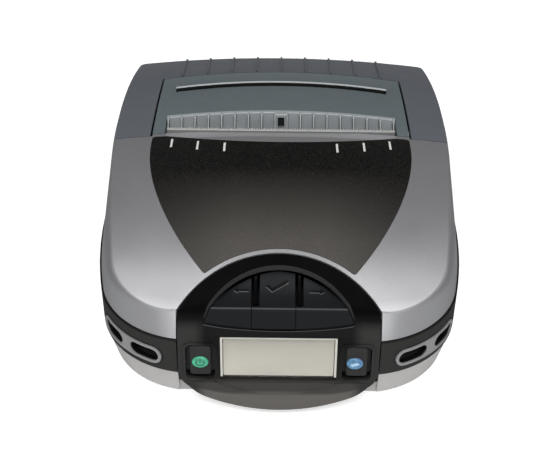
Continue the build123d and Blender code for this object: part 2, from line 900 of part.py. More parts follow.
def nose():
    """The chin under the display: a sloping shelf with a shallow crescent recess and a rolled rim."""
    slope = (nose_top_z - nose_rim_z) / (pod_face_foot - nose_rim_y)
    front_z = nose_top_z - slope * (pod_face_foot - nose_y)
    back_z = nose_top_z + slope
    shelf = [(pod_face_foot + 1, back_z), (nose_y - 1, front_z - slope), (nose_y - 1, 0), (pod_back_y + 1, 0),
             (pod_back_y + 1, back_z)]
    solid = upright(nose_plan(), nose_bottom_z, nose_top_z + 3) & side_profile(shelf, -half_width, half_width)
    front_edges = [e for e in solid.edges() if e.center().Y < pod_face_foot - 3 and e.length > nose_half]
    lip = sorted(front_edges, key=lambda e: e.center().Z)[-1]
    solid = fillet(lip, nose_lip_radius)
    floor = [(y, z - nose_recess_depth) for y, z in shelf[:2]]
    room = side_profile([*floor, (nose_y - 1, height), (pod_face_foot + 1, height)], -half_width, half_width)
    solid = solid - (upright(nose_plan(nose_rim_width), nose_bottom_z, height) & room)
    return solid & pod_trim()


membrane_line = [(key_crest_y - 3, key_crest_z - key_thickness - 2 - key_travel - membrane_gap),
                 (key_back_y + 2, key_back_z - key_thickness - key_travel - membrane_gap)]


def membrane_z(y):
    """Height of the membrane's upper face."""
    (y0, z0), (y1, z1) = membrane_line
    return z0 + (z1 - z0) * (y - y0) / (y1 - y0)


def pod_trim():
    """Room inside the pod's front view, with its bowed underside and two large lower corners."""
    tall = 80
    end = nose_bottom_z + pod_belly_radius - sqrt(pod_belly_radius ** 2 - pod_half ** 2)
    belly = ThreePointArc((-pod_half, end, 0), (0, nose_bottom_z, 0), (pod_half, end, 0))
    sides = Polyline((pod_half, end, 0), (pod_half, tall, 0), (-pod_half, tall, 0), (-pod_half, end, 0))
    face = plan_face(belly, sides)
    face = fillet([v for v in face.vertices() if v.Y < tall / 2], pod_foot_radius)
    trim = extrude(face, amount=60, both=True)
    return Pos(0, -100, 0) * Rot(90, 0, 0) * trim


def pod_housing():
    """The dark control pod: arch, key pocket, display and button openings, and the chin."""
    cap = (outer_form - inner_form) & upright(pod_plan(), band_top - 1, height)
    brow_y = facet_y(pod_brow_z)
    face_points = [(pod_back_y, pod_brow_z), (brow_y, pod_brow_z), (pod_face_top, pod_face_top_z),
                   (pod_face_foot, pod_face_foot_z), (pod_face_foot, nose_top_z - 1),
                   (pod_face_foot + 1.5, nose_bottom_z), (pod_back_y, nose_bottom_z)]
    front = side_profile(face_points, -pod_half, pod_half)
    front = front & pod_trim()
    room = pod_block(0, nose_bottom_z + 5, band_top - pod_wall, -14, -pod_wall, 2 * (pod_half - pod_wall))
    body = cap + front - room + nose()
    body = body - (upright(pocket_plan(), band_top - 3, height))
    frame_half = display_half + display_frame + 0.1
    body = body - pod_block(0, display_bottom - display_shadow_gap, display_top + display_frame_top + 0.1,
                            -8, 5, 2 * frame_half)
    for side in (1, -1):
        place = side * button_place_x
        across = button_width + 2 * button_slot
        body = body + pod_block(place, button_recess_low - button_rim, button_recess_high + button_rim, -1,
                                button_lip, across + 2 * button_rim, button_corner + button_rim)
        body = body - pod_block(place, button_recess_low, button_recess_high, -8, 5, across, button_corner)
    start = key_crest_y + key_lip + key_travel
    divider = [(start, key_crest_z - 0.3), (key_scoop_y, key_scoop_z + key_divider_rise),
               (key_back_y, key_back_z + key_divider_rise), (key_back_y, key_back_z + 4),
               (key_back_y + 4, key_back_z + 4), membrane_line[1], (start, membrane_z(start))]
    for low, high in key_channels():
        place = (low + high) / 2
        half = key_divider_width / 2
        body = body + (side_profile(divider, place - half, place + half) & under_dome(1.0))
    return body.solids().sort_by(SortBy.VOLUME)[-1]


def key_channels():
    """Where the two open channels between the keys' finger scoops run, each beside its split."""
    starts = (key_split_left - key_gap, key_split_right - key_gap)
    return [(start, start + key_channel_width) for start in starts]


def key_form():
    """The side view shared by the three keys: sloping front face, crest and finger scoop."""
    crest = (0, key_crest_y, key_crest_z)
    foot = (0, pocket_smile + button_gap, key_face_foot_z)
    scoop = ThreePointArc(crest, (0, key_scoop_y, key_scoop_z), (0, key_back_y, key_back_z))
    under = Polyline((0, key_back_y, key_back_z), (0, key_back_y, key_back_z - key_thickness),
                     (0, key_scoop_y, key_scoop_z - key_thickness),
                     (0, key_crest_y, key_crest_z - key_thickness - 2),
                     (0, pod_back_y, key_face_foot_z - 3.0), foot, crest)
    face = plan_face(scoop, under)
    return Pos(-half_width, 0, 0) * extrude(face, amount=width, dir=(1, 0, 0))


def key(place):
    """One of the three keys; place is -1, 0 or 1."""
    splits = (-width, key_split_left, key_split_right, width)
    channels = (-width, *key_channels()[0], *key_channels()[1], width)
    gap = key_gap / 2
    lip_end = key_crest_y + key_lip
    front = block(splits[place + 1] + gap, splits[place + 2] - gap, -length, lip_end, 0, height)
    back = block(channels[2 * place + 2], channels[2 * place + 3], lip_end, 0, 0, height)
    plan = upright(pocket_plan(-button_gap, -button_gap), 30, height)
    plan = plan & Pos(0, -key_travel * cos(radians(key_press_turn)), 0) * plan
    tucked = upright(pocket_plan(key_tuck, -button_gap), 30, height)
    tucked = tucked & block(-half_width, half_width, lip_end + 1, 0, 0, height)
    solid = key_form() & (front + back) & (plan + tucked)
    solid = solid.solids().sort_by(SortBy.VOLUME)[-1]
    crest = [e for e in solid.edges() if hypot(e.center().Y - key_crest_y, e.center().Z - key_crest_z) < 0.05]
    return fillet(crest, key_crest_radius)


def keypad_membrane():
    """The rubber sheet with contact pads under the keys, which rests against the pod's two dividers."""
    half = pocket_half - membrane_inset
    (y0, z0), (y1, z1) = membrane_line
    return side_profile([(y0, z0), (y1, z1), (y1, z1 - membrane_thickness), (y0, z0 - membrane_thickness)],
                        -half, half)


def display_bezel():
    """The bright frame along the top and sides of the display."""
    outer = pod_block(0, display_bottom, display_top + display_frame_top, -2.0, display_proud - 0.1,
                      2 * (display_half + display_frame))
    inner = pod_block(0, display_bottom - 1, display_top, -3.0, display_proud + 1, 2 * display_half)
    return outer - inner


def display_window():
    """The display's clear cover plate."""
    return pod_block(0, display_bottom, display_top - 0.1, display_proud - display_glass, display_proud,
                     2 * display_half - 0.1)


display_back = display_proud - display_glass - display_module_depth


def display_module():
    """The pale display behind its cover plate."""
    return pod_block(0, display_bottom + 0.2, display_top - 0.4, display_back, display_proud - display_glass,
                     2 * display_half - 0.6)


def display_board():
    """The circuit board that carries the display and both side buttons."""
    return pod_block(0, display_bottom + 0.6, display_board_top, display_back - board_thickness, display_back,
                     2 * (pod_half - pod_wall) - 2)


def side_button(place):
    """The power button or the feed button, a rounded block in its own recess."""
    cap = pod_block(place, button_low, button_high, -1.4, 0.2, button_width, 1.6)
    front = cap.faces().sort_by(Axis.Y)[0]
    cap = chamfer(front.edges(), 0.35)
    back = display_back + button_travel
    stem = pod_block(place, button_low + 1.5, button_high - 1.5, back + 0.05, -1.4, button_width - 2)
    return cap + stem


def button_icon(place):
    """The coloured oval lens on a side button."""
    lens = round_on_pod(place, button_icon_z, 0.2, 0.2 + button_icon_depth, button_icon_width,
                        button_icon_height)
    rim = lens.faces().sort_by(Axis.Y)[0].edges()
    return fillet(rim, 0.5)


def tear_bar():
    """The thin steel bar with a row of teeth that the label is torn against."""
    count = int(2 * tear_half / tear_pitch)
    start = -count * tear_pitch / 2
    points = [(start, tear_top_z - tear_depth)]
    for i in range(count):
        x = start + i * tear_pitch
        points.append((x, tear_top_z - tear_tooth))
        points.append((x + tear_pitch / 2, tear_top_z))
    points.append((start + count * tear_pitch, tear_top_z - tear_tooth))
    points.append((start + count * tear_pitch, tear_top_z - tear_depth))
    return front_profile(points, lip_rear, lip_rear + tear_thickness)


def cover_opening():
    """Room for the centre panel and its side slits in the media cover."""
    plan = panel_plan(slit_gap, door_rear_gap)
    return upright(plan, 45, height + 5)


def rear_ribs():
    """The row of thin ribs that run over the back edge of the cover."""
    grown = upper_form(-rib_height, top_edge_radius + rib_height)
    layer = grown - outer_form
    ribs = []
    first = -(rib_count - 1) / 2 * rib_pitch
    arch_sag = panel_rear_middle - panel_rear_side
    arch_radius = (panel_half ** 2 + arch_sag ** 2) / (2 * arch_sag)
    for i in range(rib_count):
        x = first + i * rib_pitch
        edge = panel_rear_middle - arch_radius + sqrt(arch_radius ** 2 - x * x)
        start = edge + door_rear_gap + rib_start_gap
        strip = block(x - rib_width / 2, x + rib_width / 2, start, rear_face - 0.4, band_top + 6, height)
        ribs.append(layer & strip)
    return ribs


def media_cover():
    """The full-width rear shell that opens for a new roll, with its inner ribs and hinge barrels."""
    shell = (outer_form - inner_form) & behind_seam()
    for one in rear_ribs():
        shell = shell + one
    shell = shell - cover_opening()
    for rib in both_sides(block(cover_rib_x, cover_rib_x + cover_rib_width, carrier_beam_y - 2, 100,
                                cover_rib_bottom, height)):
        shell = shell + (rib & outer_form)
    catch = block(latch_catch_x, half_width - 3, latch_y - 3, latch_y + 3, latch_catch_z, latch_catch_z + 2.5)
    for one in both_sides(catch & outer_form):
        shell = shell + one
    lug = block(door_arm_x + door_arm_width + 0.3, door_arm_x + door_arm_width + 2.6, door_hinge_y - 3.5,
                door_hinge_y + 3.5, door_hinge_z - 3.5, height)
    for one in both_sides(lug & outer_form):
        shell = shell + one
    body_places, cover_places = hinge_places()
    for place in body_places:
        for barrel in both_sides(knuckle(place, place + hinge_knuckle, hinge_side_gap)):
            shell = shell - barrel
    for place in cover_places:
        arm = block(place, place + hinge_knuckle, rear_face - wall - 0.5, hinge_y, hinge_z + 0.5, hinge_z + 8)
        arm = arm & block(-width, width, 0, hinge_y + 1, hinge_z + 0.5, height)
        for one in both_sides(knuckle(place, place + hinge_knuckle) + arm):
            shell = shell + one
    shell = shell - rod_x(hinge_pin_radius + running_gap, -half_width, half_width, hinge_y, hinge_z)
    for one in both_sides(rod_x(door_pin_radius, door_arm_x - 2, door_arm_x + door_arm_width + 4,
                                door_hinge_y, door_hinge_z)):
        shell = shell - one
    return shell.solids().sort_by(SortBy.VOLUME)[-1]


def swung_skin(y):
    """A point of the cover's inner skin as the fully open door sees it."""
    across = y - door_hinge_y
    up = dome_z(door_arm_x + door_arm_width, y, wall) - door_hinge_z
    turn = radians(door_turn)
    return (door_hinge_y + across * cos(turn) - up * sin(turn),
            door_hinge_z + across * sin(turn) + up * cos(turn) - door_arm_gap)


def door_arm():
    """One gooseneck arm of the centre panel, which dips under the cover's skin."""
    edge_y = panel_rear_side + door_rear_gap
    edge_rise = dome_z(door_arm_x, edge_y) - door_hinge_z
    root_y = door_hinge_y - hypot(door_hinge_y - edge_y, edge_rise) - door_arm_gap
    start_y = root_y - 10.0
    first = swung_skin(edge_y)
    second = swung_skin((2 * edge_y + door_hinge_y) / 3)
    third = swung_skin((edge_y + 2 * door_hinge_y) / 3)
    low = first[1] - door_arm_depth
    arm = [(start_y, dome_z(door_arm_x, start_y) - 1.0), (root_y, dome_z(door_arm_x, root_y) - 1.2),
           (root_y, first[1] - 0.6), first, second, (third[0], third[1] - 1.0),
           (door_hinge_y, door_hinge_z + door_lug_radius), (door_hinge_y, door_hinge_z - door_lug_radius),
           (third[0], third[1] - 1.0 - door_arm_depth), (root_y + 2, low), (root_y - 2, low),
           (start_y + 3, low + 2 * door_arm_depth)]
    arm = side_profile(arm, door_arm_x, door_arm_x + door_arm_width)
    boss = rod_x(door_lug_radius, door_arm_x, door_arm_x + door_arm_width, door_hinge_y, door_hinge_z)
    bore = rod_x(door_pin_radius + running_gap, door_arm_x - 1, door_arm_x + door_arm_width + 1,
                 door_hinge_y, door_hinge_z)
    return arm + boss - bore


def grip_plan(start, deep):
    """Plan of an arched strip along the grip ridge."""
    side = grip_y_side + start
    middle = grip_y_middle + start
    front = ThreePointArc((-grip_half, side, 0), (0, middle, 0), (grip_half, side, 0))
    back = ThreePointArc((-grip_half, side + deep, 0), (0, middle + deep, 0), (grip_half, side + deep, 0))
    ends = [Line((x, side, 0), (x, side + deep, 0)) for x in (-grip_half, grip_half)]
    return plan_face(front, back, *ends)


def exit_door():
    """The greenish centre panel with its grip ridge, side walls and hinge arms."""
    rim_plan = upright(panel_plan(), 45, height + 5)
    thick_end = panel_rear_side - 8
    inner_plan = upright(panel_plan(-panel_rim_width), 45, height + 5)
    inner_plan = inner_plan + (rim_plan & block(-width, width, -5, thick_end, 0, height + 5))
    skin = dome_skin(0.0, panel_rim_skin) & rim_plan
    skin = skin + (dome_skin(0.0, panel_skin) & inner_plan)
    door_front = lip_rear + seam_gap
    skin = skin & block(-width, width, door_front, length, 0, height + 5)
    for one in both_sides(block(panel_half - panel_side_wall, panel_half, door_front,
                                panel_rear_side - 1.5, 45, height + 5)):
        skin = skin + (one & dome_skin(0.0, panel_side_depth))
    front = side_profile(guide_front(guide_wall), -guide_half - 0.9, guide_half + 0.9)
    skin = skin - front
    cheek = block(guide_half + 0.9, panel_half, door_front, 16, 45, height + 5)
    for one in both_sides(cheek & dome_skin(0.0, panel_side_depth)):
        skin = skin + one
    ridge = upright(grip_plan(0.0, grip_width), 45, height + 5) & dome_skin(-grip_height, 0.5)
    groove = upright(grip_plan(-grip_groove_width, grip_groove_width), 45, height + 5)
    skin = skin + ridge - (groove & dome_skin(-1.0, grip_groove_depth))
    for one in both_sides(door_arm()):
        skin = skin + one
    ear = block(roller_ear_start, roller_ear_end, roller_y - roller_ear_reach, roller_y + roller_ear_reach,
                roller_z - roller_pin_radius - 0.8, roller_z + 7)
    for one in both_sides(ear - rod_x(roller_pin_radius + running_gap, 50, 70, roller_y, roller_z)):
        skin = skin + one
    return skin.solids().sort_by(SortBy.VOLUME)[-1]


def sensor_window():
    """Room for the sensor's window, straight through the guide."""
    half = sensor_window_height / 2
    return block(-sensor_window_width / 2, sensor_window_width / 2, 0, 40, sensor_z - half, sensor_z + half)


def exit_guide():
    """The leaning ribbed face that the label runs up against, with its sensor block."""
    back = side_profile(guide_front(guide_wall - 0.02), -guide_half - 0.88, guide_half + 0.88)
    slab = back - side_profile(guide_front(0.0), -width, width)
    low_cut = block(-width, width, -60, 60, 0, guide_foot_z)
    guide = (slab - low_cut) & under_dome(0.0)
    proud = side_profile(guide_front(0.0), -width, width)
    proud = proud - side_profile(guide_front(-guide_rib_height), -width, width)
    proud = (proud - low_cut) & under_dome(0.0)
    cell = (2 * guide_half - sensor_width) / guide_cells
    places = []
    for i in range(guide_cells // 2 + 1):
        places.append(sensor_width / 2 + i * cell)
    for x in places[1:]:
        strip = block(x - guide_rib / 2, x + guide_rib / 2, 0, 60, 60, 90)
        for one in both_sides(strip & proud):
            guide = guide + one
    sensor = block(-sensor_width / 2, sensor_width / 2, 0, 60, 60, 90) & proud
    guide = guide + sensor
    guide = guide - (sensor_window() & side_profile(guide_front(0.6), -width, width))
    return guide.solids().sort_by(SortBy.VOLUME)[-1]


def label_sensor():
    """The dark optical window in the middle of the guide."""
    layer = side_profile(guide_front(0.6), -width, width) - side_profile(guide_front(-0.4), -width, width)
    return sensor_window() & layer


def exit_roller():
    """The thin moulded roller under the guide that carries the label over to the tear bar."""
    journal = roller_ear_end - 0.2
    return rod_x(roller_radius, -roller_half, roller_half, roller_y, roller_z) + rod_x(
        roller_pin_radius, -journal, journal, roller_y, roller_z)


def door_pins():
    """The two hinge pins of the centre panel, pressed into the media cover."""
    pin_end = door_arm_x + door_arm_width + 2.4
    pin = rod_x(door_pin_radius, door_arm_x - 0.6, pin_end, door_hinge_y, door_hinge_z)
    return Compound(both_sides(pin))


def gear(teeth, thickness, bore, x0, y, z, turn, axis="X"):
    """A spur gear with straight-sided approximations of involute teeth."""
    pitch_r = teeth * gear_module / 2
    base_r = pitch_r * cos(radians(20))
    tip_r = pitch_r + gear_module
    root_r = pitch_r - 1.25 * gear_module
    half_pitch = pi / (2 * teeth) - mesh_gap / (2 * pitch_r)
    spread = tan(radians(20)) - radians(20)
    points = []
    for i in range(teeth):
        middle = 2 * pi * i / teeth + radians(turn)
        flank = []
        for k in range(5):
            radius = max(base_r, root_r) + (tip_r - max(base_r, root_r)) * k / 4
            pressure = sqrt(max((radius / base_r) ** 2 - 1, 0.0))
            angle = half_pitch + spread - (pressure - atan2(pressure, 1.0))
            flank.append((radius, angle))
        points.append((root_r, middle - flank[0][1] - 0.02))
        points.extend([(radius, middle - angle) for radius, angle in flank])
        points.extend([(radius, middle + angle) for radius, angle in reversed(flank)])
        points.append((root_r, middle + flank[0][1] + 0.02))
    corners = [(radius * cos(angle), radius * sin(angle)) for radius, angle in points]
    wheel = extrude(make_face(Polyline(*corners, close=True)), amount=thickness)
    wheel = wheel - Cylinder(bore, 4 * thickness)
    if axis == "X":
        return Plane.YZ.location * Pos(y, z, x0) * wheel
    return Pos(x0, y, z) * wheel


hinge_to_platen = (platen_y - hinge_y, platen_z - hinge_z)
platen_mesh = (platen_teeth + idler_teeth) * gear_module / 2
idler_turn = degrees(atan2(hinge_to_platen[0], -hinge_to_platen[1]))
idler_y = platen_y + platen_mesh * cos(radians(idler_turn))
idler_z = platen_z + platen_mesh * sin(radians(idler_turn))
motor_mesh = (idler_teeth + motor_teeth) * gear_module / 2
motor_y = idler_y + motor_mesh * cos(radians(motor_turn_from_idler))
motor_z = idler_z + motor_mesh * sin(radians(motor_turn_from_idler))
idler_phase = idler_turn + 180 + 180 / idler_teeth
motor_lag = (idler_phase - motor_turn_from_idler) * idler_teeth / motor_teeth
motor_phase = motor_turn_from_idler + 180 + 180 / motor_teeth - motor_lag


def platen_rubber():
    """The rubber sleeve of the platen roller."""
    return rod_x(platen_radius, -platen_half, platen_half, platen_y, platen_z) - rod_x(
        shaft_radius, -platen_half - 1, platen_half + 1, platen_y, platen_z)


def platen_shaft():
    """The steel shaft of the platen roller."""
    return rod_x(shaft_radius, -frame_plate_x + 0.5, gear_place_x + gear_width, platen_y, platen_z)


def platen_gear():
    """The gear on the end of the platen shaft."""
    return gear(platen_teeth, gear_width, shaft_radius, gear_place_x, platen_y, platen_z, idler_turn)


def idler_gear():
    """The gear between the motor and the platen."""
    bore = post_radius + running_gap
    return gear(idler_teeth, gear_width, bore, gear_place_x, idler_y, idler_z, idler_phase)


def motor_pinion():
    """The motor's small gear."""
    return gear(motor_teeth, gear_width, motor_shaft_radius, gear_place_x, motor_y, motor_z, motor_phase)


def motor_shaft():
    """The motor's turning shaft."""
    return rod_x(motor_shaft_radius, frame_plate_x - 12, gear_place_x + gear_width + 0.5, motor_y, motor_z)


def step_motor():
    """The step motor that drives the platen through the gears."""
    can = extrude(RectangleRounded(2 * motor_half, 2 * motor_half, 3.0), amount=motor_length)
    can = Plane.YZ.location * Pos(motor_y, motor_z, frame_plate_x - motor_length) * can
    band = rod_x(motor_half - 0.6, frame_plate_x - motor_length + 4, frame_plate_x - 4, motor_y, motor_z)
    waist = can & block(frame_plate_x - motor_length + 6, frame_plate_x - 6, -99, 99, 0, 99)
    can = (can - waist) + (waist & band)
    return can - rod_x(motor_shaft_radius + 0.3, frame_plate_x - 12.5, frame_plate_x + 1, motor_y, motor_z)


def frame_plate(side):
    """One steel side plate of the print mechanism."""
    points = [(frame_front_y, case_lift + floor_wall), (frame_front_y, 46), (-11, frame_top_z),
              (frame_notch_y, frame_top_z), (frame_notch_y, frame_notch_z), (frame_rear_y, frame_notch_z),
              (frame_rear_y, case_lift + floor_wall)]
    plate = side_profile(points, frame_plate_x, frame_plate_x + frame_plate_wall)
    plate = plate - rod_x(motor_shaft_radius + 1.0, 50, 70, motor_y, motor_z)
    plate = plate - rod_x(post_radius, 50, 70, idler_y, idler_z)
    return plate if side > 0 else mirror(plate, about=Plane.YZ)


def idler_post():
    """The fixed post that the idler gear turns on."""
    return rod_x(post_radius, frame_plate_x, gear_place_x + gear_width + 0.6, idler_y, idler_z)


def print_head():
    """The heated print head on its aluminium heat sink."""
    rear = platen_y - platen_radius - paper_gap
    front = rear - head_thickness
    middle = platen_z - head_drop
    low = middle - head_height / 2
    sink = block(-head_half, head_half, front, rear - head_strip, low, low + head_height)
    for i in range(11):
        x = -head_half + 6 + i * (2 * head_half - 12) / 10
        sink = sink - block(x - 1.6, x + 1.6, front - 1, front + 2.2, low + 3, low + head_height - 3)
    strip = block(-head_half + 1, head_half - 1, rear - head_strip, rear, platen_z - 5, platen_z + 5)
    return sink + strip


def head_bracket():
    """The steel cross plate that the head springs push against."""
    y = head_bracket_y
    plate = block(-frame_plate_x, frame_plate_x, y, y + head_bracket_thickness, platen_z - 12, platen_z + 6)
    for x in (-30, 0, 30):
        plate = plate - Pos(x, y, platen_z - 8) * Rot(90, 0, 0) * Cylinder(2.0, 10)
    return plate


def head_springs():
    """The two coil springs behind the print head."""
    start = head_bracket_y + head_bracket_thickness
    rear = platen_y - platen_radius - paper_gap
    span = rear - head_thickness - start - 2 * head_spring_wire
    coil = Helix(pitch=span / head_spring_turns, height=span, radius=head_spring_radius)
    section = Plane(origin=coil @ 0, z_dir=coil % 0) * Circle(head_spring_wire)
    spring = sweep(section, path=coil, is_frenet=True)
    spring = Rot(-90, 0, 0) * spring
    places = (-head_spring_x, head_spring_x)
    springs = [Pos(x, start + head_spring_wire, platen_z - 1) * spring for x in places]
    return Compound([s for one in springs for s in one.solids()])


def platen_carrier():
    """The steel channel under the cover that holds both ends of the platen."""
    beam = block(-cover_rib_x, cover_rib_x, carrier_beam_y, carrier_beam_y + 1.6, carrier_beam_z,
                 carrier_beam_z + carrier_beam_height)
    body = beam
    for side in (1, -1):
        x0 = side * carrier_plate_x
        x1 = side * (carrier_plate_x + carrier_plate)
        plate = block(x0, x1, 9.6, carrier_beam_y + 1.0, platen_z - 6.0, platen_z + 6.6)
        body = body + plate
    return body - rod_x(bearing_radius, -half_width, half_width, platen_y, platen_z)


def platen_bearing(side):
    """A flanged bronze bush for one end of the platen shaft."""
    x0 = carrier_plate_x
    bush = rod_x(bearing_radius, x0, x0 + bearing_width, platen_y, platen_z)
    flange = rod_x(bearing_flange, x0 - 0.9, x0, platen_y, platen_z)
    bush = bush + flange - rod_x(shaft_radius + running_gap, x0 - 5, x0 + 9, platen_y, platen_z)
    return bush if side > 0 else mirror(bush, about=Plane.YZ)


def media_tray():
    """The open tray that the label roll lies in."""
    tray = block(-bay_half, bay_half, bay_front, bay_rear, bay_floor, bay_side_top)
    tray = tray - block(-bay_half + bay_wall, bay_half - bay_wall, bay_front + bay_wall, bay_rear - bay_wall,
                        bay_floor + bay_wall, bay_side_top + 1)
    slot_x0 = media_half + guide_plate + slide_gap
    slot_x1 = media_half - guide_travel - slide_gap
    for side in (1, -1):
        y = roll_y - side * rack_line
        half = rack_teeth_width / 2 + slide_gap
        slot = block(side * slot_x0, side * slot_x1, y - half, y + half, bay_floor - 1,
                     bay_floor + bay_wall + 1)
        tray = tray - slot
    return tray


guide_pinion_radius = guide_pinion_teeth * gear_module / 2
rack_line = guide_pinion_radius + 1.25 * gear_module + rack_teeth_width / 2


def media_guide(side):
    """A round roll guide with its foot and the toothed rack under the tray floor."""
    x0 = side * media_half
    x1 = side * (media_half + guide_plate)
    floor = bay_floor + bay_wall + slide_gap
    disc = rod_x(guide_radius, x0, x1, roll_y, roll_z)
    y = roll_y - side * rack_line
    leg = block(x0, x1, min(y, roll_y) - 4, max(y, roll_y) + 4, floor, roll_z - 6)
    half = rack_teeth_width / 2
    foot = block(x0, x1, y - half, y + half, rack_floor, floor + 1)
    rack = block(x1, -side * rack_reach, y - half, y + half, rack_floor, rack_floor + rack_bar)
    body = disc + leg + foot + rack
    pitch = pi * gear_module
    lean = tan(radians(20))
    half_tooth = pitch / 4 - mesh_gap / 2
    base_y = roll_y - side * (rack_line - half)
    tip_y = base_y + side * 2.25 * gear_module * 0.96
    drop = 2.25 * gear_module * 0.96
    count = int((guide_travel + rack_reach) / pitch)
    for i in range(count):
        middle = -side * (rack_reach - pitch * 0.75) + side * i * pitch
        middle = side * pitch * (round(side * middle / pitch - 0.5) + 0.5)
        base_half = half_tooth + 1.25 * gear_module * lean
        tip_half = base_half - drop * lean
        root_y = base_y - side * 0.2
        corners = [(middle - base_half, root_y, 0), (middle + base_half, root_y, 0),
                   (middle + tip_half, tip_y, 0), (middle - tip_half, tip_y, 0)]
        tooth = plan_face(Polyline(*corners, close=True))
        body = body + upright(tooth, rack_floor, rack_floor + rack_bar)
    return body - rod_x(hub_pin_radius + running_gap, 0, side * half_width, roll_y, roll_z)


def guide_pinion():
    """The small gear that makes both roll guides move together."""
    bore = post_radius + running_gap
    return gear(guide_pinion_teeth, rack_bar - 0.2, bore, 0, roll_y, rack_floor + 0.1, 90, axis="Z")


def guide_post():
    """The post under the tray that the small gear turns on."""
    low = case_lift + floor_wall
    foot = rod_z(post_radius + 2.5, 0, roll_y, low, rack_floor - 0.2)
    return rod_z(post_radius, 0, roll_y, low, bay_floor) + foot


def media_hub(side):
    """The turning hub that goes into the end of the roll's core."""
    x0 = side * media_half
    disc = rod_x(hub_radius, x0 - side * hub_depth, x0 - side * slide_gap, roll_y, roll_z)
    rim = disc.edges().filter_by(GeomType.CIRCLE)
    inner_end = [e for e in rim if abs(e.center().X - (x0 - side * hub_depth)) < 0.01]
    disc = chamfer(inner_end, 1.5)
    pin = rod_x(hub_pin_radius, x0 - side * hub_depth, x0 + side * (guide_plate - 0.4), roll_y, roll_z)
    return disc + pin


def battery_pack():
    """The rechargeable battery in the front of the tub."""
    low = case_lift + floor_wall
    pack = block(-battery_half, battery_half, battery_front, battery_rear, low, low + battery_height)
    return fillet(pack.edges().filter_by(Axis.Z), 3.0)


def battery_contacts():
    """Three spring contacts between the battery and the main board."""
    blades = []
    low = case_lift + floor_wall + battery_height
    for x in (-8, 0, 8):
        blades.append(block(x - 1, x + 1, battery_rear - 8, battery_rear - 7.4, low, board_z))
        blades.append(block(x - 1, x + 1, battery_rear - 7.4, battery_rear - 3, low, low + 0.4))
    return Compound([blades[i] + blades[i + 1] for i in (0, 2, 4)])


def main_board():
    """The main circuit board with its chips and plug sockets."""
    board = block(-board_half, board_half, board_front, board_rear, board_z, board_z + board_thickness)
    top = board_z + board_thickness
    chips = ((-30, -62, 14, 14, 1.6), (4, -64, 20, 14, 2.0), (30, -58, 9, 12, 1.4), (-38, -44, 12, 6, 5.0),
             (-10, -42, 22, 6, 5.0), (36, -42, 16, 6, 5.0))
    for x, y, across, deep, tall in chips:
        board = board + block(x - across / 2, x + across / 2, y - deep / 2, y + deep / 2, top, top + tall)
    for x, y in board_corners():
        board = board - rod_z(1.5 + overlay_gap, x, y, board_z - 1, board_z + 9)
    return board


def board_corners():
    """Where the main board is held."""
    return [(x, y) for x in (-board_half + 5, board_half - 5) for y in (board_front + 5, board_rear - 5)]


def board_posts():
    """Four moulded posts that carry the main board beside the battery."""
    low = case_lift + floor_wall - 0.5
    top = board_z + board_thickness + 0.8
    return [rod_z(2.6, x, y, low, board_z) + rod_z(1.5, x, y, board_z - 1, top) for x, y in board_corners()]


def port_board():
    """The small upright board behind the side sockets."""
    x = port_board_x
    return block(x, x + 1.6, usb_y - 9, jack_y + 9, port_z - 8, port_z + 7)


def dc_jack():
    """The charging socket."""
    x0 = port_board_x + 1.6
    body = block(x0, x0 + 10.5, jack_y - 4.5, jack_y + 4.5, port_z - 5.5, port_z + 3.5)
    bore = rod_x(3.1, x0 + 2, x0 + 12, jack_y, port_z - 1)
    pin = rod_x(0.8, x0 + 1.8, x0 + 9.5, jack_y, port_z - 1)
    return body - bore + pin


def usb_port():
    """The small data socket."""
    x0 = port_board_x + 1.6
    body = block(x0, x0 + 9.0, usb_y - 4.0, usb_y + 4.0, port_z - 3.0, port_z + 1.0)
    room = block(x0 + 2, x0 + 12, usb_y - 3.4, usb_y + 3.4, port_z - 2.4, port_z + 0.4)
    tongue = block(x0 + 1.8, x0 + 8.0, usb_y - 2.4, usb_y + 2.4, port_z - 0.8, port_z - 0.2)
    return body - room + tongue


def port_cover():
    """The rubber flap over the side sockets, which swings about its round rear edge."""
    flap = band_ring(0.0, port_cover_thickness, lower_case_top, band_top) & port_window(-port_cover_gap)
    front = port_middle_y - port_cover_length / 2
    notch = block(half_width - 12, half_width + 2, front - 1, front + 2.0, port_z - 3, port_z + 3)
    barrel = port_cover_thickness / 2
    swing_y = port_middle_y + port_cover_length / 2 - port_cover_gap - barrel
    high = port_cover_height / 2 - port_cover_gap
    rear = block(half_width - 12, half_width + 5, swing_y, swing_y + 5, port_z - 2 * high, port_z + 2 * high)
    edge = rod_z(barrel, half_width - barrel, swing_y, port_z - high, port_z + high)
    return (flap - notch - rear + edge).solids().sort_by(SortBy.VOLUME)[-1]


def latch_button(side):
    """A side button with the hook that holds the cover shut."""
    face = band_ring(0.0, band_wall + 0.6, lower_case_top, band_top) & latch_window(0.0)
    face = face & block(0, width, -width, width, 0, height)
    high = latch_height / 2 - 2
    stem = block(latch_stem_x, half_width - band_wall, latch_y - 4, latch_y + 4, latch_z - high,
                 latch_z + high)
    top = latch_catch_z + 5.0
    hook = block(latch_stem_x, latch_stem_x + 2.0, latch_y - 4, latch_y + 4, latch_z, top)
    beak = block(latch_stem_x, latch_catch_x - latch_hook_gap, latch_y - 4, latch_y + 4, top - 2.0, top)
    body = (face + stem + hook + beak).solids().sort_by(SortBy.VOLUME)[-1]
    return body if side > 0 else mirror(body, about=Plane.YZ)


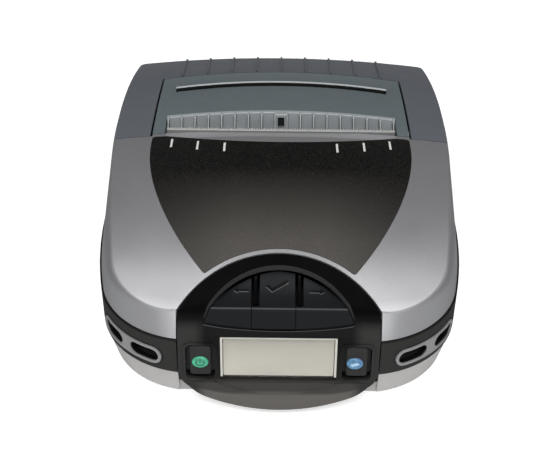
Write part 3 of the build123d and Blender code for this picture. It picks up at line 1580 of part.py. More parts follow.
def latch_spring(side):
    """The coil spring that returns a latch button."""
    x0 = latch_post_x + wall
    span = latch_stem_x - x0 - 2 * latch_spring_wire
    coil = Helix(pitch=span / latch_spring_turns, height=span, radius=latch_spring_radius)
    section = Plane(origin=coil @ 0, z_dir=coil % 0) * Circle(latch_spring_wire)
    spring = sweep(section, path=coil, is_frenet=True)
    spring = Pos(x0 + latch_spring_wire, latch_y, latch_z) * Rot(0, 90, 0) * spring
    return spring if side > 0 else mirror(spring, about=Plane.YZ)


pieces = {
    "lower_case": lower_case,
    "bumper_band": bumper_band,
    "upper_case": upper_case,
    "label_overlay": label_overlay,
    "case_screws": case_screws,
    "rubber_feet": rubber_feet,
    "strap_bezels": lambda: Compound([strap_bezel(-1), strap_bezel(1)]),
    "strap_cups": lambda: Compound([strap_cup(-1), strap_cup(1)]),
    "pod_housing": pod_housing,
    "display_bezel": display_bezel,
    "display_window": display_window,
    "display_module": display_module,
    "display_board": display_board,
    "key_left": lambda: key(-1),
    "key_enter": lambda: key(0),
    "key_right": lambda: key(1),
    "keypad_membrane": keypad_membrane,
    "power_button": lambda: side_button(-button_place_x),
    "power_icon": lambda: button_icon(-button_place_x),
    "feed_button": lambda: side_button(button_place_x),
    "feed_icon": lambda: button_icon(button_place_x - feed_icon_shift),
    "tear_bar": tear_bar,
    "print_head": print_head,
    "head_bracket": head_bracket,
    "head_springs": head_springs,
    "frame_plates": lambda: Compound([frame_plate(-1), frame_plate(1)]),
    "step_motor": step_motor,
    "motor_shaft": motor_shaft,
    "motor_pinion": motor_pinion,
    "idler_gear": idler_gear,
    "gear_posts": lambda: Compound([idler_post(), guide_post()]),
    "media_tray": media_tray,
    "media_guide_left": lambda: media_guide(-1),
    "media_guide_right": lambda: media_guide(1),
    "media_hub_left": lambda: media_hub(-1),
    "media_hub_right": lambda: media_hub(1),
    "guide_pinion": guide_pinion,
    "main_board": main_board,
    "battery_pack": battery_pack,
    "battery_contacts": battery_contacts,
    "port_board": port_board,
    "dc_jack": dc_jack,
    "usb_port": usb_port,
    "port_cover": port_cover,
    "latch_button_left": lambda: latch_button(-1),
    "latch_button_right": lambda: latch_button(1),
    "latch_spring_left": lambda: latch_spring(-1),
    "latch_spring_right": lambda: latch_spring(1),
    "hinge_pins": hinge_pins,
    "media_cover": media_cover,
    "platen_carrier": platen_carrier,
    "platen_bearings": lambda: Compound([platen_bearing(-1), platen_bearing(1)]),
    "platen_rubber": platen_rubber,
    "platen_shaft": platen_shaft,
    "platen_gear": platen_gear,
    "exit_door": exit_door,
    "exit_guide": exit_guide,
    "label_sensor": label_sensor,
    "exit_roller": exit_roller,
    "door_pins": door_pins,
}


def build():
    """Make every piece and write it to its own file."""
    os.makedirs("parts", exist_ok=True)
    for name, make in pieces.items():
        export_step(make(), f"parts/{name}.step")


if __name__ == "__main__":
    build()
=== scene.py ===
"""Looks of the portable thermal printer: finishes, small signs, floor, light and camera.

Metres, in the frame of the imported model: +X right, +Y to the cover's hinge, +Z up.
"""

import json
import math

import bpy
from mathutils import Matrix, Vector


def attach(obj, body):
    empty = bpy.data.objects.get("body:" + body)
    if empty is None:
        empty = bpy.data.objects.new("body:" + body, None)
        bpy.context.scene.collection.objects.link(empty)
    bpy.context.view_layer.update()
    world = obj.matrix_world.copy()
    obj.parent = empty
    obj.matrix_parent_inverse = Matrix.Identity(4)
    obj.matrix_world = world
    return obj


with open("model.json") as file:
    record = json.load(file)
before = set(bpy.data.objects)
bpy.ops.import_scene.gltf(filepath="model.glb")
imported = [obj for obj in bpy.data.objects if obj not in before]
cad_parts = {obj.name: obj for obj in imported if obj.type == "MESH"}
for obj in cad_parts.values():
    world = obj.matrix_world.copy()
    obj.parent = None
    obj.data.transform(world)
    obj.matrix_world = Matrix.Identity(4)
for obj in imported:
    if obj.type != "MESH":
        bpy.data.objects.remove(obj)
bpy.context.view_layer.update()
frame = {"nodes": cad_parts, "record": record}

MM = 0.001

# Top surface, as in the part's source
HEIGHT = 81.0 * MM
FRONT_BEND = 167.0 * MM
REAR_BEND = 365.0 * MM
CROWN_BEND = 700.0 * MM
LABEL_PROUD = 0.15 * MM

# Key pocket: its arch, its smile, and the keys' scoop as (y, z) of crest, lowest part and back
POCKET_HALF = 33.7 * MM
POCKET_FOOT = -97.3 * MM
POCKET_TOP = -79.0 * MM
SMILE_END = -98.9 * MM
SMILE_MIDDLE = -100.6 * MM
CREST_Y = -94.2 * MM
KEY_ARC = ((CREST_Y, 49.2 * MM), (-86.0 * MM, 50.3 * MM), (-77.4 * MM, 56.6 * MM))

# Centre panel: its grip ridge, the cells of the guide and half the width of the rear lip
GRIP_HALF = 56.4 * MM
GRIP_SIDE = 50.6 * MM
GRIP_MIDDLE = 55.5 * MM
SENSOR_HALF = 3.1 * MM
CELL_WIDTH = 6.8125 * MM
LIP_HALF = 57.5 * MM

# Front corners of the case, round upright axes
CORNER_X = 39.4 * MM
CORNER_Y = -57.5 * MM
CORNER_RADIUS = 46.0 * MM

# Zones of painted light and shade: colour, then where the fade starts and ends along an axis
POD_FACE_LIGHT = ((0.019, 0.0185, 0.018), 38 * MM, 18 * MM)
POD_CHIN_LIGHT = ((0.048, 0.046, 0.043), 16 * MM, 14 * MM)
POD_FOOT_LIGHT = ((0.10, 0.094, 0.088), 11.4 * MM, 10.6 * MM)
POD_ARCH_SHADE = ((0.0008, 0.0009, 0.0012), 43 * MM, 48 * MM)
BAND_TOP_SHADE = ((0.002, 0.002, 0.002), 35.7 * MM, 36.3 * MM)
BAND_FOOT_SHADE = ((0.002, 0.002, 0.002), 17.5 * MM, 16.9 * MM)
KEY_SCOOP_LIGHT = ((0.014, 0.0145, 0.015), -86 * MM, -93 * MM)
KEY_FRONT_SHADE = ((0.0045, 0.0055, 0.0065), CREST_Y, -95.4 * MM)
PANEL_REAR_LIGHT = ((0.165, 0.20, 0.21), 58 * MM, 84 * MM)
COVER_REAR_LIGHT = ((0.142, 0.150, 0.165), 76 * MM, 100 * MM)
SHELL_FACET_LIGHT = ((0.36, 0.36, 0.37), 52 * MM, 48.5 * MM)
TEAR_FOOT_SHADE = ((0.16, 0.16, 0.165), 80.9 * MM, 80.6 * MM)
LABEL_REAR_SHADE = ((0.0, 0.0, 0.0), -68 * MM, -26 * MM)
LABEL_SIDE_SHADE = (0.002, 0.002, 0.002)
LABEL_SIDE_END = 62 * MM

# Painted light on the pod's sides and the shell's rear lip: colour, then where each fade starts and ends
POD_SIDE_LIGHT = (0.030, 0.030, 0.029)
POD_SIDE_ACROSS = (33 * MM, 38 * MM)
POD_SIDE_DOWN = (45 * MM, 41 * MM)
LIP_HIGHLIGHT = (0.40, 0.40, 0.41)
LIP_ALONG = (-2.4 * MM, -1.6 * MM)

# Painted highlight and shade lines: colour, then width or the two distances from an arc
ARCH_HIGHLIGHT = ((0.035, 0.035, 0.035), 0.16 * MM)
SMILE_HIGHLIGHT = ((0.05, 0.05, 0.05), 0.22 * MM)
POCKET_LINE_SOFT = 0.05 * MM
CREST_HIGHLIGHT = ((0.055, 0.057, 0.06), 0.4 * MM)
GRIP_SHADE = ((0.004, 0.005, 0.005), -1.3 * MM, 0.0)
GRIP_HIGHLIGHT = ((0.62, 0.65, 0.66), 0.15 * MM, 2.3 * MM)
LINK_INSIDE_SHADE = ((0.008, 0.008, 0.008), 0.35 * MM)

# Guide ribs' painted shade and highlights: colour, half width, and softness as a share of a cell; then its
# upper edge
RIB_SHADE = ((0.040, 0.045, 0.047), 0.6 * MM, 0.03)
RIB_HIGHLIGHT = ((0.30, 0.33, 0.34), 0.22 * MM, 0.012)
GUIDE_EDGE_HIGHLIGHT = ((0.34, 0.365, 0.375), 0.45 * MM, 0.3 * MM)

# Marks on the label: size, lower and upper side over it, and (x, y, lean) of half of them in millimetres
MARK_LENGTH = 6.8 * MM
MARK_WIDTH = 1.05 * MM
MARK_LIFTS = (-0.02 * MM, 0.06 * MM)
MARKS = ((27.6, -7.6, 0.1), (40.9, -5.6, 0.15), (53.9, -2.8, 0.2))

# Signs on the keys: key, outline and middle in millimetres, and 1 or -1 for the way it points
ARROW = ((-3.5, 0), (-1.2, 1.2), (-1.2, 0.42), (3.5, 0.42), (3.5, -0.42), (-1.2, -0.42), (-1.2, -1.2))
TICK = ((-5.2, -0.2), (-4.0, 0.5), (-2.2, -1.0), (4.4, 2.4), (5.4, 1.5), (-2.2, -2.6))
KEY_SIGNS = (
    ("left", ARROW, -17.4, -84.4, 1),
    ("right", ARROW, 17.2, -84.7, -1),
    ("enter", TICK, -1.0, -82.4, 1),
)

# Lower and upper side of the key signs over the scoop, and how far forward their painted highlight edges are
# set
KEY_SIGN_LIFTS = (-0.04 * MM, 0.14 * MM)
KEY_HIGHLIGHT_LIFTS = (-0.04 * MM, 0.06 * MM)
KEY_HIGHLIGHT_SHIFT = 0.45 * MM

# Oval lenses on the pod's leaning face and the signs on them, in millimetres; the ring's turn in degrees
BUTTON_X = 35.5
FEED_SHIFT = 0.9
ICON_Z = 25.4
LENS_OUT = 1.1
LENS_SIGN_LIFTS = (LENS_OUT - 0.05, LENS_OUT + 0.04)
FACE_START = Vector((0, -104.05, 27.1))
FACE_LEAN = math.atan2(3.1, 24.2)
RING_OUTER = 1.75
RING_INNER = 1.35
RING_STRETCH = 1.25
RING_DROP = 0.1
RING_START = 125
RING_SWEEP = 290
RING_STEPS = 12
POWER_BAR = ((-0.25, 0.1), (0.25, 0.1), (0.25, 2.2), (-0.25, 2.2))
FEED_SHEET = ((-2.2, -0.3), (-1.2, -1.5), (2.2, -0.3), (1.2, 0.9))
FEED_MARK = ((-1.1, 1.0), (-0.1, 1.25), (-0.5, 2.1))

# Lamps: name, place, target, width, depth and watts; and how far the floor reaches
LAMPS = (
    ("overhead", (0.0, -0.42, 0.95), (0.0, -0.06, 0.03), 1.3, 0.5, 8.6),
    ("front", (0.0, -1.50, 0.42), (0.0, -0.1, 0.03), 1.5, 0.5, 7.0),
    ("left", (-1.2, -0.35, 0.5), (0.0, -0.05, 0.04), 0.6, 0.6, 1.2),
    ("right", (1.2, -0.35, 0.5), (0.0, -0.05, 0.04), 0.6, 0.6, 1.2),
)
FLOOR_REACH = 4.0

# View of the photograph
FOCAL_PX = 1100.0
IMAGE_WIDTH_PX = 555.0
SENSOR_MM = 36.0
VIEW_ELEVATION = math.radians(37.54)
VIEW_DISTANCE = 553.7 * MM
VIEW_TARGET = Vector((-1.16 * MM, -23.86 * MM, 40.0 * MM))
VIEW_ROLL = math.radians(0.66)


def dome_z(x, y, lift=0.0):
    """Height of the top surface, or of a surface at some lift over it."""
    bend = FRONT_BEND if y < 0 else REAR_BEND
    crown = CROWN_BEND + lift
    drop = CROWN_BEND - math.sqrt(crown * crown - x * x)
    reach = bend - drop
    return HEIGHT - bend + math.sqrt(reach * reach - y * y)


class Finish:
    """A procedural material that is put together layer by layer."""

    def __init__(self, name, colour, roughness, metallic=0.0):
        self.material = bpy.data.materials.new(name)
        self.material.use_nodes = True
        self.tree = self.material.node_tree
        self.shader = self.tree.nodes["Principled BSDF"]
        self.shader.inputs["Base Color"].default_value = (*colour, 1.0)
        self.shader.inputs["Roughness"].default_value = roughness
        self.shader.inputs["Metallic"].default_value = metallic
        self.colour = colour
        self.coordinates = self.node("ShaderNodeTexCoord").outputs["Object"]

    def node(self, kind, **values):
        """A new node with some of its inputs set."""
        made = self.tree.nodes.new(kind)
        for key, value in values.items():
            made.inputs[key].default_value = value
        return made

    def link(self, source, target):
        self.tree.links.new(source, target)

    def noise(self, size, detail=2.0, rough=0.5):
        """A cloud pattern whose features are about size metres wide."""
        made = self.node("ShaderNodeTexNoise", Scale=1.0 / size, Detail=detail, Roughness=rough)
        self.link(self.coordinates, made.inputs["Vector"])
        return made.outputs["Fac"]

    def grains(self, size):
        """A random value for each small cell."""
        made = self.node("ShaderNodeTexVoronoi", Scale=1.0 / size)
        self.link(self.coordinates, made.inputs["Vector"])
        return made.outputs["Color"]

    def ramp(self, value, low, high, start=0.0, end=1.0):
        """A value spread between two limits."""
        made = self.node("ShaderNodeMapRange")
        made.inputs["From Min"].default_value = low
        made.inputs["From Max"].default_value = high
        made.inputs["To Min"].default_value = start
        made.inputs["To Max"].default_value = end
        self.link(value, made.inputs["Value"])
        return made.outputs["Result"]

    def mottle(self, value, other):
        """Blends the base colour towards another colour by a value."""
        mix = self.tree.nodes.new("ShaderNodeMix")
        mix.data_type = "RGBA"
        mix.inputs[6].default_value = (*self.colour, 1.0)
        mix.inputs[7].default_value = (*other, 1.0)
        old = self.shader.inputs["Base Color"].links
        if old:
            self.link(old[0].from_socket, mix.inputs[6])
        self.link(value, mix.inputs[0])
        self.link(mix.outputs[2], self.shader.inputs["Base Color"])
        return self

    def shine(self, value, low, high):
        """Varies the roughness between two values."""
        self.link(self.ramp(value, 0.3, 0.7, low, high), self.shader.inputs["Roughness"])
        return self

    def place(self):
        """The X, Y and Z outputs of the surface's place."""
        split = self.node("ShaderNodeSeparateXYZ")
        self.link(self.coordinates, split.inputs["Vector"])
        return split.outputs

    def fade(self, other, low, high, axis="Z", share=1.0):
        """Blends the base colour towards another colour between two places along an axis."""
        return self.mottle(self.ramp(self.place()[axis], low, high, 0.0, share), other)

    def combine(self, kind, *values):
        """One step of arithmetic on numbers and node outputs."""
        made = self.tree.nodes.new("ShaderNodeMath")
        made.operation = kind
        for slot, value in enumerate(values):
            if isinstance(value, (int, float)):
                made.inputs[slot].default_value = value
            else:
                self.link(value, made.inputs[slot])
        return made.outputs[0]

    def square(self, value):
        """A value times itself."""
        return self.combine("MULTIPLY", value, value)

    def diagonal(self, across, along):
        """The straight distance over two distances at a right angle."""
        return self.combine("SQRT", self.combine("ADD", self.square(across), self.square(along)))

    def between(self, value, low, high, soft):
        """1 inside two limits and 0 outside, with soft ends."""
        rise = self.ramp(value, low - soft, low)
        fall = self.ramp(value, high, high + soft, 1.0, 0.0)
        return self.combine("MULTIPLY", rise, fall)

    def arc_line(self, other, radius, centre_y, low, high, half, soft=0.1 * MM):
        """Colours a thin line beside an upright arc, between two distances outside its radius."""
        place = self.place()
        reach = self.diagonal(place["X"], self.combine("SUBTRACT", place["Y"], centre_y))
        line = self.between(self.combine("SUBTRACT", reach, radius), low, high, soft)
        ends = self.between(place["X"], -half, half, soft)
        return self.mottle(self.combine("MULTIPLY", line, ends), other)

    def bump(self, value, depth, strength=1.0):
        """Raises the surface by a pattern of some depth in metres."""
        made = self.node("ShaderNodeBump", Strength=strength, Distance=depth)
        self.link(value, made.inputs["Height"])
        old = self.shader.inputs["Normal"].links
        if old:
            self.link(old[0].from_socket, made.inputs["Normal"])
        self.link(made.outputs["Normal"], self.shader.inputs["Normal"])
        return self

    def set(self, **values):
        """Sets shader inputs by name, with underscores for spaces."""
        for key, value in values.items():
            self.shader.inputs[key.replace("_", " ")].default_value = value
        return self


def tint(colour, factor):
    """A colour made lighter or darker."""
    return tuple(min(1.0, c * factor) for c in colour)


def moulded(name, colour, roughness, grain=0.25 * MM, depth=0.012 * MM, metallic=0.0):
    """Moulded plastic: spark-eroded grain, slight cloudiness and handling wear in the gloss."""
    finish = Finish(name, colour, roughness, metallic)
    finish.mottle(finish.ramp(finish.noise(9 * MM, 3.0), 0.35, 0.65, 0.0, 0.35), tint(colour, 0.86))
    finish.mottle(finish.ramp(finish.noise(0.4 * MM, 2.0), 0.45, 0.75, 0.0, 0.25), tint(colour, 1.25))
    finish.shine(finish.noise(14 * MM, 4.0), roughness - 0.05, roughness + 0.06)
    finish.bump(finish.noise(grain, 3.0, 0.6), depth)
    return finish


def silver_paint(name, colour, roughness):
    """Silver paint with fine bright flakes under a satin surface."""
    finish = Finish(name, colour, roughness, 0.45)
    finish.mottle(finish.ramp(finish.grains(0.22 * MM), 0.55, 1.0, 0.0, 0.5), tint(colour, 1.35))
    finish.mottle(finish.ramp(finish.noise(16 * MM, 3.0), 0.4, 0.7, 0.0, 0.3), tint(colour, 0.9))
    finish.shine(finish.noise(22 * MM, 4.0), roughness - 0.04, roughness + 0.05)
    finish.bump(finish.noise(0.35 * MM, 3.0), 0.008 * MM)
    return finish


def speckled_sheet(name, colour):
    """A dark printed sheet with a fine metallic speckle, a leathery micro-texture, and painted shade towards
    its rear and sides.
    """
    finish = Finish(name, colour, 0.46)
    finish.mottle(finish.ramp(finish.grains(0.30 * MM), 0.66, 1.0, 0.0, 0.5), (0.13, 0.123, 0.112))
    # Painted shade: the sheet darkens towards its rear and its sides
    finish.fade(*LABEL_REAR_SHADE, "Y")
    for edge in (-LABEL_SIDE_END, LABEL_SIDE_END):
        finish.fade(LABEL_SIDE_SHADE, edge / 3, edge, "X", 0.7)
    finish.mottle(finish.ramp(finish.noise(0.7 * MM, 2.0), 0.45, 0.7, 0.0, 0.5), tint(colour, 0.6))
    finish.shine(finish.noise(0.8 * MM, 3.0), 0.40, 0.52)
    finish.bump(finish.noise(0.45 * MM, 4.0, 0.65), 0.02 * MM)
    return finish.set(Specular_IOR_Level=0.22)


def metal(name, colour, roughness, stretch=(1.0, 14.0, 14.0), grain=1.2 * MM):
    """Rolled or ground metal with fine lines along X, or cast metal where the stretch is even."""
    finish = Finish(name, colour, roughness, 1.0)
    mapping = finish.node("ShaderNodeMapping", Scale=stretch)
    finish.link(finish.coordinates, mapping.inputs["Vector"])
    lines = finish.node("ShaderNodeTexNoise", Scale=1.0 / grain, Detail=4.0)
    finish.link(mapping.outputs["Vector"], lines.inputs["Vector"])
    finish.mottle(finish.ramp(lines.outputs["Fac"], 0.35, 0.7, 0.0, 0.5), tint(colour, 0.78))
    finish.shine(lines.outputs["Fac"], roughness - 0.08, roughness + 0.12)
    finish.bump(lines.outputs["Fac"], 0.006 * MM)
    return finish


def soft_rubber(name, colour, roughness, gloss=0.3):
    """Rubber with a fine stipple and a soft sheen."""
    return moulded(name, colour, roughness, 0.35 * MM, 0.02 * MM).set(Specular_IOR_Level=gloss)


def clear_plate(name):
    """The hard-coated clear cover of the display."""
    finish = Finish(name, (0.93, 0.94, 0.92), 0.3)
    finish.set(Transmission_Weight=1.0, IOR=1.46, Alpha=0.2)
    finish.bump(finish.noise(18 * MM, 2.0), 0.01 * MM, 0.4)
    return finish


def pale_display(name):
    """A blank reflective display: a warm pale grey, slightly clouded."""
    colour = (0.55, 0.525, 0.465)
    finish = Finish(name, colour, 0.5)
    finish.mottle(finish.ramp(finish.noise(7 * MM, 2.0), 0.35, 0.7, 0.0, 0.5), tint(colour, 0.97))
    finish.bump(finish.noise(0.2 * MM, 2.0), 0.002 * MM)
    return finish


def glossy_lens(name, colour):
    """A small tinted lens with a soft depth of colour."""
    finish = Finish(name, colour, 0.22)
    finish.mottle(finish.ramp(finish.noise(2.2 * MM, 2.0), 0.35, 0.7, 0.0, 0.7), tint(colour, 0.55))
    return finish.set(Coat_Weight=0.6, Coat_Roughness=0.12, Subsurface_Weight=0.1)


def circuit_board(name, colour):
    """Solder mask over copper traces."""
    finish = Finish(name, colour, 0.35)
    bricks = finish.node("ShaderNodeTexBrick", Scale=160.0)
    bricks.inputs["Mortar Size"].default_value = 0.03
    finish.link(finish.coordinates, bricks.inputs["Vector"])
    finish.mottle(finish.ramp(bricks.outputs["Fac"], 0.0, 1.0, 0.0, 0.6), tint(colour, 2.2))
    finish.bump(bricks.outputs["Fac"], 0.02 * MM)
    return finish


# Stretch of a metal's grain where it runs no way in particular
EVEN = (1.0, 1.0, 1.0)

finishes = {
    "silver_plastic": silver_paint("silver_plastic", (0.27, 0.268, 0.277), 0.36),
    "case_silver": moulded("case_silver", (0.42, 0.41, 0.405), 0.5, 0.3 * MM, 0.01 * MM, 0.1),
    "cover_grey": moulded("cover_grey", (0.118, 0.127, 0.145), 0.45, 0.3 * MM),
    "panel_grey": moulded("panel_grey", (0.125, 0.153, 0.162), 0.45, 0.3 * MM),
    "guide_grey": moulded("guide_grey", (0.125, 0.142, 0.15), 0.42),
    "band_dark": soft_rubber("band_dark", (0.024, 0.024, 0.0225), 0.6),
    "pod_dark": moulded("pod_dark", (0.0085, 0.0085, 0.0085), 0.55, 0.3 * MM).set(Specular_IOR_Level=0.04),
    "key_dark": soft_rubber("key_dark", (0.0085, 0.0095, 0.0115), 0.5, 0.14),
    "overlay_dark": speckled_sheet("overlay_dark", (0.067, 0.061, 0.054)),
    "button_dark": moulded("button_dark", (0.026, 0.0255, 0.025), 0.5).set(Specular_IOR_Level=0.25),
    "icon_green": glossy_lens("icon_green", (0.07, 0.42, 0.24)),
    "icon_blue": glossy_lens("icon_blue", (0.12, 0.26, 0.43)),
    "clear_window": clear_plate("clear_window"),
    "display_pale": pale_display("display_pale"),
    "bright_frame": metal("bright_frame", (0.56, 0.55, 0.50), 0.5).set(Metallic=0.1),
    "strap_metal": metal("strap_metal", (0.36, 0.36, 0.36), 0.36, EVEN, 0.8 * MM).set(Metallic=0.4),
    "steel": metal("steel", (0.56, 0.57, 0.58), 0.32),
    "aluminium": metal("aluminium", (0.66, 0.67, 0.68), 0.38),
    "bronze": metal("bronze", (0.55, 0.38, 0.20), 0.42, EVEN, 0.5 * MM),
    "platen_rubber": soft_rubber("platen_rubber", (0.045, 0.045, 0.05), 0.6),
    "foot_rubber": soft_rubber("foot_rubber", (0.02, 0.02, 0.02), 0.7),
    "gear_white": moulded("gear_white", (0.70, 0.69, 0.64), 0.4),
    "inner_dark": moulded("inner_dark", (0.03, 0.03, 0.032), 0.5),
    "bright_steel": metal("bright_steel", (0.56, 0.56, 0.545), 0.5).set(Metallic=0.2),
    "sensor_black": moulded("sensor_black", (0.004, 0.004, 0.004), 0.6).set(Specular_IOR_Level=0.1),
    "board_green": circuit_board("board_green", (0.015, 0.10, 0.045)),
    "battery_grey": moulded("battery_grey", (0.06, 0.06, 0.065), 0.5),
}


def arc_through(half, side, middle):
    """Radius and centre along Y of an arc through a middle place and two side places."""
    rise = middle - side
    radius = (half * half + rise * rise) / (2 * rise)
    return abs(radius), middle - radius


def paint_light_on_pod(pod):
    """Painted light and shade: lighter chin, face and sides, a near-black arch, and highlight lines along
    the key pocket.
    """
    # Painted light lower down the face, chin and foot, and painted shade over the arch
    for zone in (POD_FACE_LIGHT, POD_CHIN_LIGHT, POD_FOOT_LIGHT, POD_ARCH_SHADE):
        pod.fade(*zone)
    # Painted light on the pod's sides beside the keys, low down
    beside = pod.ramp(pod.combine("ABSOLUTE", pod.place()["X"]), *POD_SIDE_ACROSS)
    under = pod.ramp(pod.place()["Z"], *POD_SIDE_DOWN)
    pod.mottle(pod.combine("MULTIPLY", beside, under), POD_SIDE_LIGHT)
    arch = arc_through(POCKET_HALF, POCKET_FOOT, POCKET_TOP)
    smile = arc_through(POCKET_HALF, SMILE_END, SMILE_MIDDLE)
    # Painted highlights along the pocket's arch and smile
    for (colour, width), arc in ((ARCH_HIGHLIGHT, arch), (SMILE_HIGHLIGHT, smile)):
        pod.arc_line(colour, *arc, 0.0, width, POCKET_HALF, POCKET_LINE_SOFT)


def paint_light_on_keys(keys):
    """Painted light and shade: lighter scoops, dark front sides and a highlight along the crest."""
    keys.fade(*KEY_SCOOP_LIGHT, "Y", 0.8)
    keys.fade(*KEY_FRONT_SHADE, "Y")
    colour, width = CREST_HIGHLIGHT
    keys.mottle(keys.between(keys.place()["Y"], CREST_Y - width, CREST_Y, 0.12 * MM), colour)


def paint_light_on_shell(silver):
    """Painted light: a lighter facet round the front and a highlight along the rear lip."""
    silver.fade(*SHELL_FACET_LIGHT)
    strip = silver.ramp(silver.place()["Y"], *LIP_ALONG)
    ends = silver.between(silver.place()["X"], -LIP_HALF, LIP_HALF, 0.3 * MM)
    silver.mottle(silver.combine("MULTIPLY", strip, ends), LIP_HIGHLIGHT)


def paint_shade_in_links(links):
    """Painted shade on the inner sides of the strap mounts."""
    place = links.place()
    across = links.combine("SUBTRACT", links.combine("ABSOLUTE", place["X"]), CORNER_X)
    reach = links.diagonal(across, links.combine("SUBTRACT", place["Y"], CORNER_Y))
    colour, width = LINK_INSIDE_SHADE
    links.mottle(links.ramp(reach, CORNER_RADIUS + width, CORNER_RADIUS), colour)


def paint_light_on_panel(panel):
    """Painted light towards the rear end, and a painted shadow line and highlight along the grip ridge."""
    panel.fade(*PANEL_REAR_LIGHT, "Y")
    grip = arc_through(GRIP_HALF, GRIP_SIDE, GRIP_MIDDLE)
    for colour, low, high in (GRIP_SHADE, GRIP_HIGHLIGHT):
        panel.arc_line(colour, *grip, low, high, GRIP_HALF)


def paint_light_on_guide(guide):
    """Painted shade beside the ribs between the cells, painted highlights on the ribs, and a painted
    highlight on the upper edge.
    """
    place = guide.place()
    side = guide.combine("SUBTRACT", guide.combine("ABSOLUTE", place["X"]), SENSOR_HALF)
    cell = guide.combine("FRACT", guide.combine("ADD", guide.combine("DIVIDE", side, CELL_WIDTH), 0.5))
    off = guide.combine("ABSOLUTE", guide.combine("SUBTRACT", cell, 0.5))
    for colour, width, soft in (RIB_SHADE, RIB_HIGHLIGHT):
        guide.mottle(guide.between(off, 0.0, width / CELL_WIDTH, soft), colour)
    across = guide.combine("DIVIDE", guide.square(place["X"]), 2 * CROWN_BEND)
    along = guide.combine("DIVIDE", guide.square(place["Y"]), 2 * REAR_BEND)
    below = guide.combine("SUBTRACT", HEIGHT, place["Z"])
    depth = guide.combine("SUBTRACT", below, guide.combine("ADD", across, along))
    colour, start, end = GUIDE_EDGE_HIGHLIGHT
    guide.mottle(guide.ramp(depth, start, end), colour)


def paint_light_and_shade():
    """Paints light and shade: highlights on edges, lighter zones, and shade in corners and seams, each where
    the part's own form has them.
    """
    paint_light_on_pod(finishes["pod_dark"])
    # Painted shade along the band's upper and lower seams
    finishes["band_dark"].fade(*BAND_TOP_SHADE).fade(*BAND_FOOT_SHADE)
    paint_light_on_keys(finishes["key_dark"])
    paint_light_on_panel(finishes["panel_grey"])
    # Painted light towards the cover's rear
    finishes["cover_grey"].fade(*COVER_REAR_LIGHT, "Y")
    paint_light_on_shell(finishes["silver_plastic"])
    # Painted shade on the tear bar below its top edge
    finishes["bright_steel"].fade(*TEAR_FOOT_SHADE)
    paint_shade_in_links(finishes["strap_metal"])
    paint_light_on_guide(finishes["guide_grey"])


def dress_nodes():
    """Gives each CAD node the finish of its material slot."""
    for part in frame["record"]["subparts"]:
        node = frame["nodes"][part["node"]]
        node.data.materials.clear()
        node.data.materials.append(finishes[part["material_slot"]].material)


def thin_sign(name, low, high, finish, body, slot):
    """A thin closed piece between a lower and an upper outline, which rides on a body."""
    count = len(low)
    faces = [tuple(range(count, 2 * count)), tuple(reversed(range(count)))]
    faces += [(i, (i + 1) % count, count + (i + 1) % count, count + i) for i in range(count)]
    mesh = bpy.data.meshes.new(name)
    mesh.from_pydata(low + high, [], faces)
    mesh.materials.append(finish.material)
    sign = bpy.data.objects.new(name, mesh)
    bpy.context.scene.collection.objects.link(sign)
    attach(sign, body)


def plate(name, outline, surface, lifts, finish, body, slot):
    """A sign in plan whose lower and upper sides lie at two lifts over a height function."""
    low, high = ([(x, y, surface(x, y) + lift) for x, y in outline] for lift in lifts)
    thin_sign(name, low, high, finish, body, slot)


def label_z(x, y):
    """Height of the label's upper side."""
    return dome_z(x, y, LABEL_PROUD)


def label_ticks():
    """The six short light marks along the rear edge of the overlay."""
    light = moulded("tick_light", (0.72, 0.72, 0.70), 0.45)
    half = MARK_WIDTH / 2
    for side, word in ((-1, "left"), (1, "right")):
        for number, (x, y, lean) in enumerate(MARKS):
            x0 = side * x * MM
            x1 = side * (x + lean) * MM
            top = y * MM
            foot = top - MARK_LENGTH
            outline = [(x0 - half, top), (x1 - half, foot), (x1 + half, foot), (x0 + half, top)]
            plate(f"label_tick_{word}_{number}", outline, label_z, MARK_LIFTS, light, "case", "overlay_dark")


def scoop_z(x, y):
    """Height of the keys' finger scoop, an arc from the crest over the scoop to the back."""
    (y1, z1), (y2, z2), (y3, z3) = KEY_ARC
    a = 2 * (y2 - y1)
    b = 2 * (z2 - z1)
    c = y2 * y2 + z2 * z2 - y1 * y1 - z1 * z1
    d = 2 * (y3 - y2)
    e = 2 * (z3 - z2)
    f = y3 * y3 + z3 * z3 - y2 * y2 - z2 * z2
    mid_y = (c * e - b * f) / (a * e - b * d)
    mid_z = (a * f - c * d) / (a * e - b * d)
    radius = math.hypot(y1 - mid_y, z1 - mid_z)
    return mid_z - math.sqrt(radius * radius - (y - mid_y) ** 2)


def key_signs():
    """Dark arrows on the outer keys and a tick on the middle one, each with a painted highlight along its
    lower edge.
    """
    dark = moulded("key_sign", (0.0015, 0.0015, 0.002), 0.5).set(Specular_IOR_Level=0.1)
    # Painted highlight along each sign's lower edge
    sign_highlight = moulded("key_sign_highlight", (0.055, 0.056, 0.058), 0.5)
    for word, shape, x, y, side in KEY_SIGNS:
        body = f"key_{word}"
        outline = [((x + side * dx) * MM, (y + dy) * MM) for dx, dy in shape]
        if side < 0:
            outline.reverse()
        lower = [(a, b - KEY_HIGHLIGHT_SHIFT) for a, b in outline]
        plate(f"key_sign_{word}", outline, scoop_z, KEY_SIGN_LIFTS, dark, body, "key_dark")
        plate(f"key_sign_highlight_{word}", lower, scoop_z, KEY_HIGHLIGHT_LIFTS, sign_highlight, body, "key_dark")


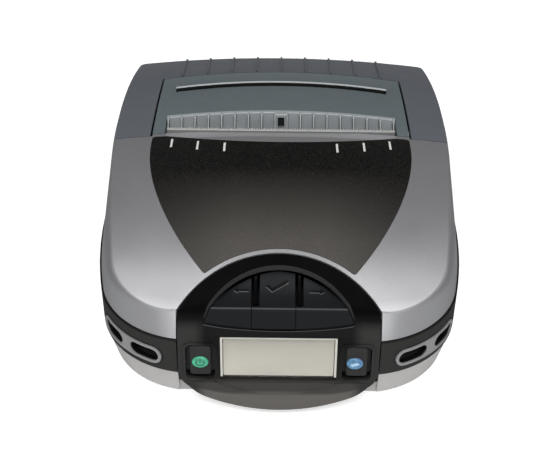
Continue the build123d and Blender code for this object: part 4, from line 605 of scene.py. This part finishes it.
def face_plate(name, outline, middle, finish, body, slot):
    """A sign on an oval lens, given across and up from the middle of the lens."""
    up = Vector((0, math.sin(FACE_LEAN), math.cos(FACE_LEAN)))
    out = Vector((0, -math.cos(FACE_LEAN), math.sin(FACE_LEAN)))
    layers = []
    for lift in LENS_SIGN_LIFTS:
        layer = []
        for x, z in outline:
            rise = (ICON_Z + z - FACE_START.z) / math.cos(FACE_LEAN)
            layer.append(tuple((FACE_START + Vector((middle + x, 0, 0)) + up * rise + out * lift) * MM))
        layers.append(layer)
    thin_sign(name, *layers, finish, body, slot)


def ring_arc(radius, steps):
    """Points of the open ring of the power sign."""
    points = []
    for step in steps:
        angle = math.radians(RING_START + RING_SWEEP * step / RING_STEPS)
        points.append((RING_STRETCH * radius * math.cos(angle), radius * math.sin(angle) - RING_DROP))
    return points


def lens_signs():
    """A plain power sign on the green lens and a sheet sign on the blue one."""
    ink = moulded("lens_ink", (0.03, 0.06, 0.06), 0.4)
    pale = moulded("lens_pale", (0.36, 0.50, 0.64), 0.4)
    ring = ring_arc(RING_OUTER, range(RING_STEPS + 1)) + ring_arc(RING_INNER, range(RING_STEPS, -1, -1))
    feed_x = BUTTON_X - FEED_SHIFT
    face_plate("power_sign_ring", ring, -BUTTON_X, ink, "power_button", "icon_green")
    face_plate("power_sign_bar", POWER_BAR, -BUTTON_X, ink, "power_button", "icon_green")
    face_plate("feed_sign_sheet", FEED_SHEET, feed_x, pale, "feed_button", "icon_blue")
    face_plate("feed_sign_mark", FEED_MARK, feed_x, ink, "feed_button", "icon_blue")


def studio():
    """A pale floor, large soft lights overhead and in front, and two weak ones at the sides."""
    mesh = bpy.data.meshes.new("floor")
    reach = FLOOR_REACH
    mesh.from_pydata([(-reach, -reach, 0), (reach, -reach, 0), (reach, reach, 0), (-reach, reach, 0)], [],
                     [(0, 1, 2, 3)])
    floor = bpy.data.objects.new("floor", mesh)
    bpy.context.scene.collection.objects.link(floor)
    pale = Finish("floor_pale", (0.93, 0.93, 0.93), 0.9)
    pale.set(Emission_Color=(1.0, 1.0, 1.0, 1.0), Emission_Strength=0.55)
    pale.bump(pale.noise(3 * MM, 2.0), 0.01 * MM)
    mesh.materials.append(pale.material)
    floor.visible_glossy = False
    for name, place, target, wide, deep, power in LAMPS:
        light = bpy.data.lights.new(name, "AREA")
        light.shape = "RECTANGLE"
        light.size = wide
        light.size_y = deep
        light.energy = power
        lamp = bpy.data.objects.new(name, light)
        bpy.context.scene.collection.objects.link(lamp)
        lamp.location = place
        lamp.rotation_euler = (Vector(target) - Vector(place)).to_track_quat("-Z", "Y").to_euler()
    world = bpy.data.worlds.new("studio")
    bpy.context.scene.world = world
    world.use_nodes = True
    background = world.node_tree.nodes["Background"]
    background.inputs["Color"].default_value = (0.96, 0.98, 1.0, 1.0)
    background.inputs["Strength"].default_value = 0.16
    bpy.context.scene.view_settings.view_transform = "Standard"


def camera():
    """The camera at the photograph's place."""
    data = bpy.data.cameras.new("view")
    data.sensor_width = SENSOR_MM
    data.lens = FOCAL_PX / IMAGE_WIDTH_PX * SENSOR_MM
    data.clip_start = 0.01
    view = bpy.data.objects.new("view", data)
    bpy.context.scene.collection.objects.link(view)
    back = Vector((0, -math.cos(VIEW_ELEVATION), math.sin(VIEW_ELEVATION)))
    right = Vector((1, 0, 0))
    up = back.cross(right)
    turn = Matrix((right, up, back)).transposed().to_4x4()
    roll = Matrix.Rotation(VIEW_ROLL, 4, "Z")
    view.matrix_world = Matrix.Translation(VIEW_TARGET + back * VIEW_DISTANCE) @ turn @ roll
    bpy.context.scene.camera = view


paint_light_and_shade()
dress_nodes()
label_ticks()
key_signs()
lens_signs()
studio()
camera()
